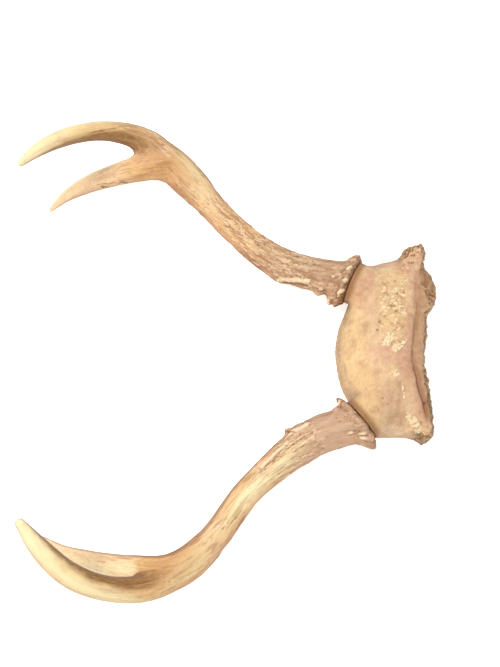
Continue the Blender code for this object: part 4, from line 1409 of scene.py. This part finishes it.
antlerFinish = {
    "name": "antlerBone",
    "stops": [  # share of the way from burr to tip, colour
        (0.00, (206, 166, 136)),
        (0.10, (214, 176, 148)),
        (0.18, (218, 176, 140)),
        (0.27, (226, 174, 124)),
        (0.46, (224, 170, 116)),
        (0.60, (211, 158, 104)),
        (0.76, (224, 182, 122)),
        (0.88, (240, 208, 152)),
        (1.00, (250, 230, 190)),
    ],
    "streakDark": (160, 108, 62),
    "streakPale": (246, 208, 152),
    # a dark brown for dirt and for painted shade
    "dirtAndShade": (112, 72, 42),
    "worn": (250, 216, 168),
    "pink": (218, 162, 132),
    "olive": (204, 164, 100),
    "umber": (187, 149, 119),
    "crest": (255, 238, 187),
    "shadedFlank": (172, 116, 76),
    "stain": (134, 92, 38),
    "cream": (250, 212, 168),
    "flake": (246, 212, 176),
    "pearl": (255, 230, 192),
    "roughness": (0.42, 0.62),
    "grain": (380.0, 55.0, 1.7),  # across and along, and seed
    "hair": (1150.0, 60.0, 5.1),
    "pores": (420.0, 0.12),  # scale, share of the cells
    "poreDepth": 0.5,
    "drifts": [(62.0, 2.0, "pink", "olive", 0.5)],
    "layers": [
        # the crest layer is a painted highlight along the top
        ("umber", "umber", 0.9), ("cream", "cream", 0.9), ("crest", "crest", 0.9),
        # the flank layer: partly browner bone, partly painted shade on the sides
        ("shadedFlank", "shadedFlank", 0.7), ("streakDark", "tone", 0.4, 0.5, 0.0),
        ("flake", "tone", 0.35, 0.55, 1.0), ("streakDark", "darkStreaks", 0.62),
        ("streakPale", "paleStreaks", 0.30), ("flake", "flakes", 0.55),
        ("stain", "stain", "streaked"),
    ],
    "hollowShares": (0.5, 0.32),  # how dirty the hollows are, how worn what stands proud
    "marks": [  # layers over the dirt
        ("dirtAndShade", "hairlines", "hairShare"), ("dirtAndShade", "pores", 0.4), ("pearl", "pale", 0.75, 0.3, 0.9),
        ("dirtAndShade", "seams", 0.48, 0.1, 0.9), ("dirtAndShade", "pits", 0.5, 0.15, 0.8),
        # painted shade: in the crease between the tines, on the burr's rim, and on the sides turned from
        # the light
        ("dirtAndShade", "creaseShade", 0.5, 0.3, 1.0), ("dirtAndShade", "rim", 0.42, 0.0, 1.0), ("dirtAndShade", "sides", 0.6),
    ],
}

skullFinish = {
    "name": "skullBone",
    "braincase": (231, 193, 140),
    "forehead": (223, 184, 146),
    "brow": (221, 177, 143),
    "band": (244, 206, 144),
    "strip": (194, 150, 112),
    "ledge": (162, 120, 84),
    "sawn": (226, 198, 158),
    # a dark brown for dirt and for painted shade
    "dirtAndShade": (110, 72, 44),
    "groove": (150, 96, 60),
    "worn": (250, 216, 166),
    "pink": (216, 164, 136),
    "blush": (204, 152, 122),
    "grey": (190, 148, 110),
    "bleached": (244, 212, 162),
    "flake": (255, 234, 192),
    "olive": (136, 106, 62),
    "burrShadow": (150, 102, 60),
    "roughness": (0.5, 0.72),
    "foreheadFromTo": (0.080, 0.098),  # metres along X, each with a ragged edge
    "browFromTo": (0.108, 0.120),
    "ragged": 0.03,
    "mottle": (330.0, 330.0, 3.3),
    "fine": (900.0, 900.0, 7.9),
    "pores": (520.0, 0.10),
    "poreDepth": 0.6,
    "drifts": [(34.0, 4.0, "pink", "grey", 0.8), (130.0, 9.0, "bleached", "grey", 0.5)],
    "layers": [
        ("band", "band", 0.5), ("blush", "blush", 0.75), ("strip", "strip", 0.8),
        ("ledge", "ledge", 0.9), ("olive", "mossy", "lowSide"), ("sawn", "sawn", 1.0),
        ("worn", "mottle", 0.18, 0.5, 1.0), ("dirtAndShade", "mottle", 0.11, 0.45, 0.0),
        ("dirtAndShade", "fine", 0.12, 0.4, 0.0),
    ],
    "hollowShares": (0.5, 0.40),
    "marks": [
        ("flake", "pale", 0.75, 0.2, 0.9), ("groove", "groove", 0.85), ("dirtAndShade", "pores", 0.35),
        # painted shadow of the burr on the pedicle, after the dark marks
        ("dirtAndShade", "seams", 0.42), ("dirtAndShade", "dark", 0.72, 0.15, 0.9), ("burrShadow", "burrShade", 0.9),
        # painted shade on the sides turned from the light
        ("dirtAndShade", "sides", 0.5),
    ],
}

# the same on antlers and skull
surface = {"bumpStrength": 0.5, "bumpDistance": 0.0005, "specular": 0.3, "poreSize": 0.34}


def startMaterial(name):
    material = bpy.data.materials.new(name)
    material.use_nodes = True
    tree = material.node_tree
    return material, tree, tree.nodes["Principled BSDF"]


def drifting(tree, base, finish, place):
    # the base through one colour drift after another
    for scale, seed, first, second, share in finish["drifts"]:
        base = useGroup(
            tree, colourDrift, Base=base, Place=place, Scale=scale, Seed=seed,
            First=colour(*finish[first]), Second=colour(*finish[second]), Share=share,
        )["Colour"]
    return base


def dirtied(tree, base, finish):
    # the base with dirt in the hollows and wear on what stands proud
    dirtShare, wornShare = finish["hollowShares"]
    return useGroup(
        tree, hollowTint, Base=base, Hollow=attribute(tree, "hollow"), Dirt=colour(*finish["dirtAndShade"]),
        Worn=colour(*finish["worn"]), DirtShare=dirtShare, WornShare=wornShare,
    )["Colour"]


def layered(tree, base, finish, layers, made):
    # each layer over the last; a mask is one of the values made for it or else an attribute
    for shade, mask, amount, *limits in finish[layers]:
        value = made[mask] if mask in made else attribute(tree, mask)
        if limits:
            value = spread(tree, value, *limits)
        base = over(tree, base, colour(*finish[shade]), value, made.get(amount, amount))
    return base


def poreMask(tree, finish, place):
    # 1 in the middle of each pore, 0 outside them
    scale, share = finish["pores"]
    size = surface["poreSize"]
    return useGroup(tree, bonePores, Place=place, Scale=scale, Share=share, Size=size)["Mask"]


def finishSurface(tree, shader, base, rough, height):
    # colour, roughness and the finest relief plugged into the shader
    strength, distance = surface["bumpStrength"], surface["bumpDistance"]
    inputs = {"Height": height, "Strength": strength, "Distance": distance}
    bump = addNode(tree, "ShaderNodeBump", inputs)
    plug(tree, shader.inputs["Base Color"], base)
    plug(tree, shader.inputs["Roughness"], rough)
    plug(tree, shader.inputs["Normal"], bump.outputs[0])
    shader.inputs["Specular IOR Level"].default_value = surface["specular"]


def grained(tree, place, sizes):
    # the outputs of the grain's group, from its sizes across and along and its seed
    across, lengthwise, seed = sizes
    return useGroup(tree, boneGrain, Place=place, Across=across, Lengthwise=lengthwise, Seed=seed)


def forkedGrain(tree, sizes):
    # the grain along the beam and the grain along the rear tine, mixed over the fork
    beam, tine = (
        grained(tree, attribute(tree, name, vector=True), sizes) for name in ("grain", "tineGrain")
    )
    mixed = {}
    for name in ("Streaks", "Fibres", "Height"):
        inputs = {0: attribute(tree, "grainMix"), 2: beam[name], 3: tine[name]}
        mixed[name] = addNode(tree, "ShaderNodeMix", inputs).outputs[0]
    return mixed


def antlerMaterial():
    finish = antlerFinish
    material, tree, shader = startMaterial(finish["name"])
    place = addNode(tree, "ShaderNodeTexCoord").outputs["Object"]
    along = attribute(tree, "along")
    grain, hair = forkedGrain(tree, finish["grain"]), forkedGrain(tree, finish["hair"])
    stops = addNode(tree, "ShaderNodeValToRGB", {"Fac": along})
    elements = stops.color_ramp.elements
    while len(elements) < len(finish["stops"]):
        elements.new(0.5)
    for element, (position, shade) in zip(elements, finish["stops"]):
        element.position = position
        element.color = colour(*shade)
    base = drifting(tree, stops.outputs[0], finish, place)
    shaft = spread(tree, along, 0.95, 0.45, 0.3, 1.0)
    streaky, stain = attribute(tree, "streaky"), attribute(tree, "stain")
    pores = poreMask(tree, finish, place)
    made = {
        "darkStreaks": times(tree, spread(tree, grain["Streaks"], 0.5, 0.0), shaft, streaky),
        "paleStreaks": times(tree, spread(tree, grain["Streaks"], 0.6, 1.0), streaky),
        "streaked": spread(tree, grain["Fibres"], 0.0, 0.9, 0.68, 1.0),
        # thin dark hairlines, more of them in the stain
        "hairlines": spread(tree, hair["Fibres"], 0.28, 0.05),
        "hairShare": times(tree, math(tree, "ADD", times(tree, stain, 0.3), 0.42), streaky),
        "pores": times(tree, pores, shaft),
    }
    base = layered(tree, base, finish, "layers", made)
    base = layered(tree, dirtied(tree, base, finish), finish, "marks", made)
    rough = spread(tree, along, 1.0, 0.5, *finish["roughness"])
    rough = math(tree, "ADD", rough, times(tree, grain["Fibres"], 0.08))
    height = math(tree, "SUBTRACT", grain["Height"], times(tree, pores, finish["poreDepth"]))
    height = math(tree, "ADD", height, times(tree, hair["Height"], 0.35))
    finishSurface(tree, shader, base, rough, times(tree, height, shaft))
    return material


def skullMaterial():
    finish = skullFinish
    material, tree, shader = startMaterial(finish["name"])
    place = addNode(tree, "ShaderNodeTexCoord").outputs["Object"]
    parts = addNode(tree, "ShaderNodeSeparateXYZ", {0: place}).outputs
    inputs = {"Vector": place, "Scale": 38.0, "Detail": 4.0, "Roughness": 0.6}
    clouds = addNode(tree, "ShaderNodeTexNoise", inputs).outputs["Fac"]
    wander = times(tree, math(tree, "SUBTRACT", clouds, 0.5), finish["ragged"])
    forward = math(tree, "ADD", parts["X"], wander)
    braincase, forehead, brow = (colour(*finish[key]) for key in ("braincase", "forehead", "brow"))
    base = mixColour(tree, spread(tree, forward, *finish["foreheadFromTo"]), braincase, forehead)
    base = over(tree, base, brow, spread(tree, forward, *finish["browFromTo"]))
    base = drifting(tree, base, finish, place)
    mottle = grained(tree, place, finish["mottle"])
    pores = poreMask(tree, finish, place)
    made = {
        "mossy": times(tree, attribute(tree, "ledge"), spread(tree, clouds, 0.32, 0.55)),
        "lowSide": spread(tree, parts["Y"], 0.02, -0.02, 0.25, 0.8),
        "mottle": mottle["Streaks"],
        "fine": grained(tree, place, finish["fine"])["Streaks"],
        "pores": pores,
    }
    base = layered(tree, base, finish, "layers", made)
    base = layered(tree, dirtied(tree, base, finish), finish, "marks", made)
    rough = spread(tree, mottle["Fibres"], 0.0, 1.0, *finish["roughness"])
    height = math(tree, "SUBTRACT", mottle["Height"], times(tree, pores, finish["poreDepth"]))
    finishSurface(tree, shader, base, rough, height)
    return material


# floor, light and camera

studio = {
    "floor": (0.93, 0.93, 0.93, 1.0),
    "floorGlow": 0.72,
    "floorHalf": 3.0,
    "floorDrop": 0.0003,  # how far the floor lies under the part
    "floorRoughness": 0.9,
    "worldStrength": 0.42,
    "lights": [  # name, place, aimed at, size, watts
        ("keyLight", (-0.40, 0.10, 1.25), (0.0, 0.0, 0.03), 0.55, 12.6),
        ("fillLight", (0.7, -0.5, 1.2), (0.0, 0.0, 0.03), 1.2, 2.6),
    ],
    "cameraAt": (-0.0001, -0.1521, 0.5968),
    "cameraAim": (0.0066, 0.0131, 0.0200),
    "lens": 46.25,
}


def aimed(obj, place, target):
    obj.location = place
    obj.rotation_euler = (Vector(target) - Vector(place)).to_track_quat("-Z", "Y").to_euler()
    bpy.context.scene.collection.objects.link(obj)


def makeStudio():
    scene = bpy.context.scene
    half, drop = studio["floorHalf"], studio["floorDrop"]
    corners = np.array([(-half, -half), (half, -half), (half, half), (-half, half)])
    corners = np.column_stack([corners, np.full(4, -drop)])
    floor = meshObject("studioFloor", corners, np.array([[0, 1, 2, 3]]))
    material, _, shader = startMaterial("paleFloor")
    shader.inputs["Base Color"].default_value = studio["floor"]
    shader.inputs["Roughness"].default_value = studio["floorRoughness"]
    shader.inputs["Emission Color"].default_value = studio["floor"]
    shader.inputs["Emission Strength"].default_value = studio["floorGlow"]
    floor.data.materials.append(material)
    world = scene.world or bpy.data.worlds.new("studioWorld")
    scene.world = world
    world.use_nodes = True
    background = world.node_tree.nodes["Background"]
    background.inputs["Color"].default_value = (1.0, 1.0, 1.0, 1.0)
    background.inputs["Strength"].default_value = studio["worldStrength"]
    for name, place, target, size, watts in studio["lights"]:
        lamp = bpy.data.lights.new(name, "AREA")
        lamp.shape = "DISK"
        lamp.size = size
        lamp.energy = watts
        aimed(bpy.data.objects.new(name, lamp), place, target)
    camera = bpy.data.cameras.new("photoCamera")
    camera.sensor_width = 36.0
    camera.lens = studio["lens"]
    camera.clip_start = 0.01
    cameraObject = bpy.data.objects.new("photoCamera", camera)
    aimed(cameraObject, studio["cameraAt"], studio["cameraAim"])
    scene.camera = cameraObject
    scene.view_settings.view_transform = "Standard"
    scene.view_settings.look = "None"


boneOfAntlers = antlerMaterial()
for antler in (leftAntler, rightAntler):
    makeAntler(antler).data.materials.append(boneOfAntlers)
makeSkull().data.materials.append(skullMaterial())
makeStudio()
print("studio ready")
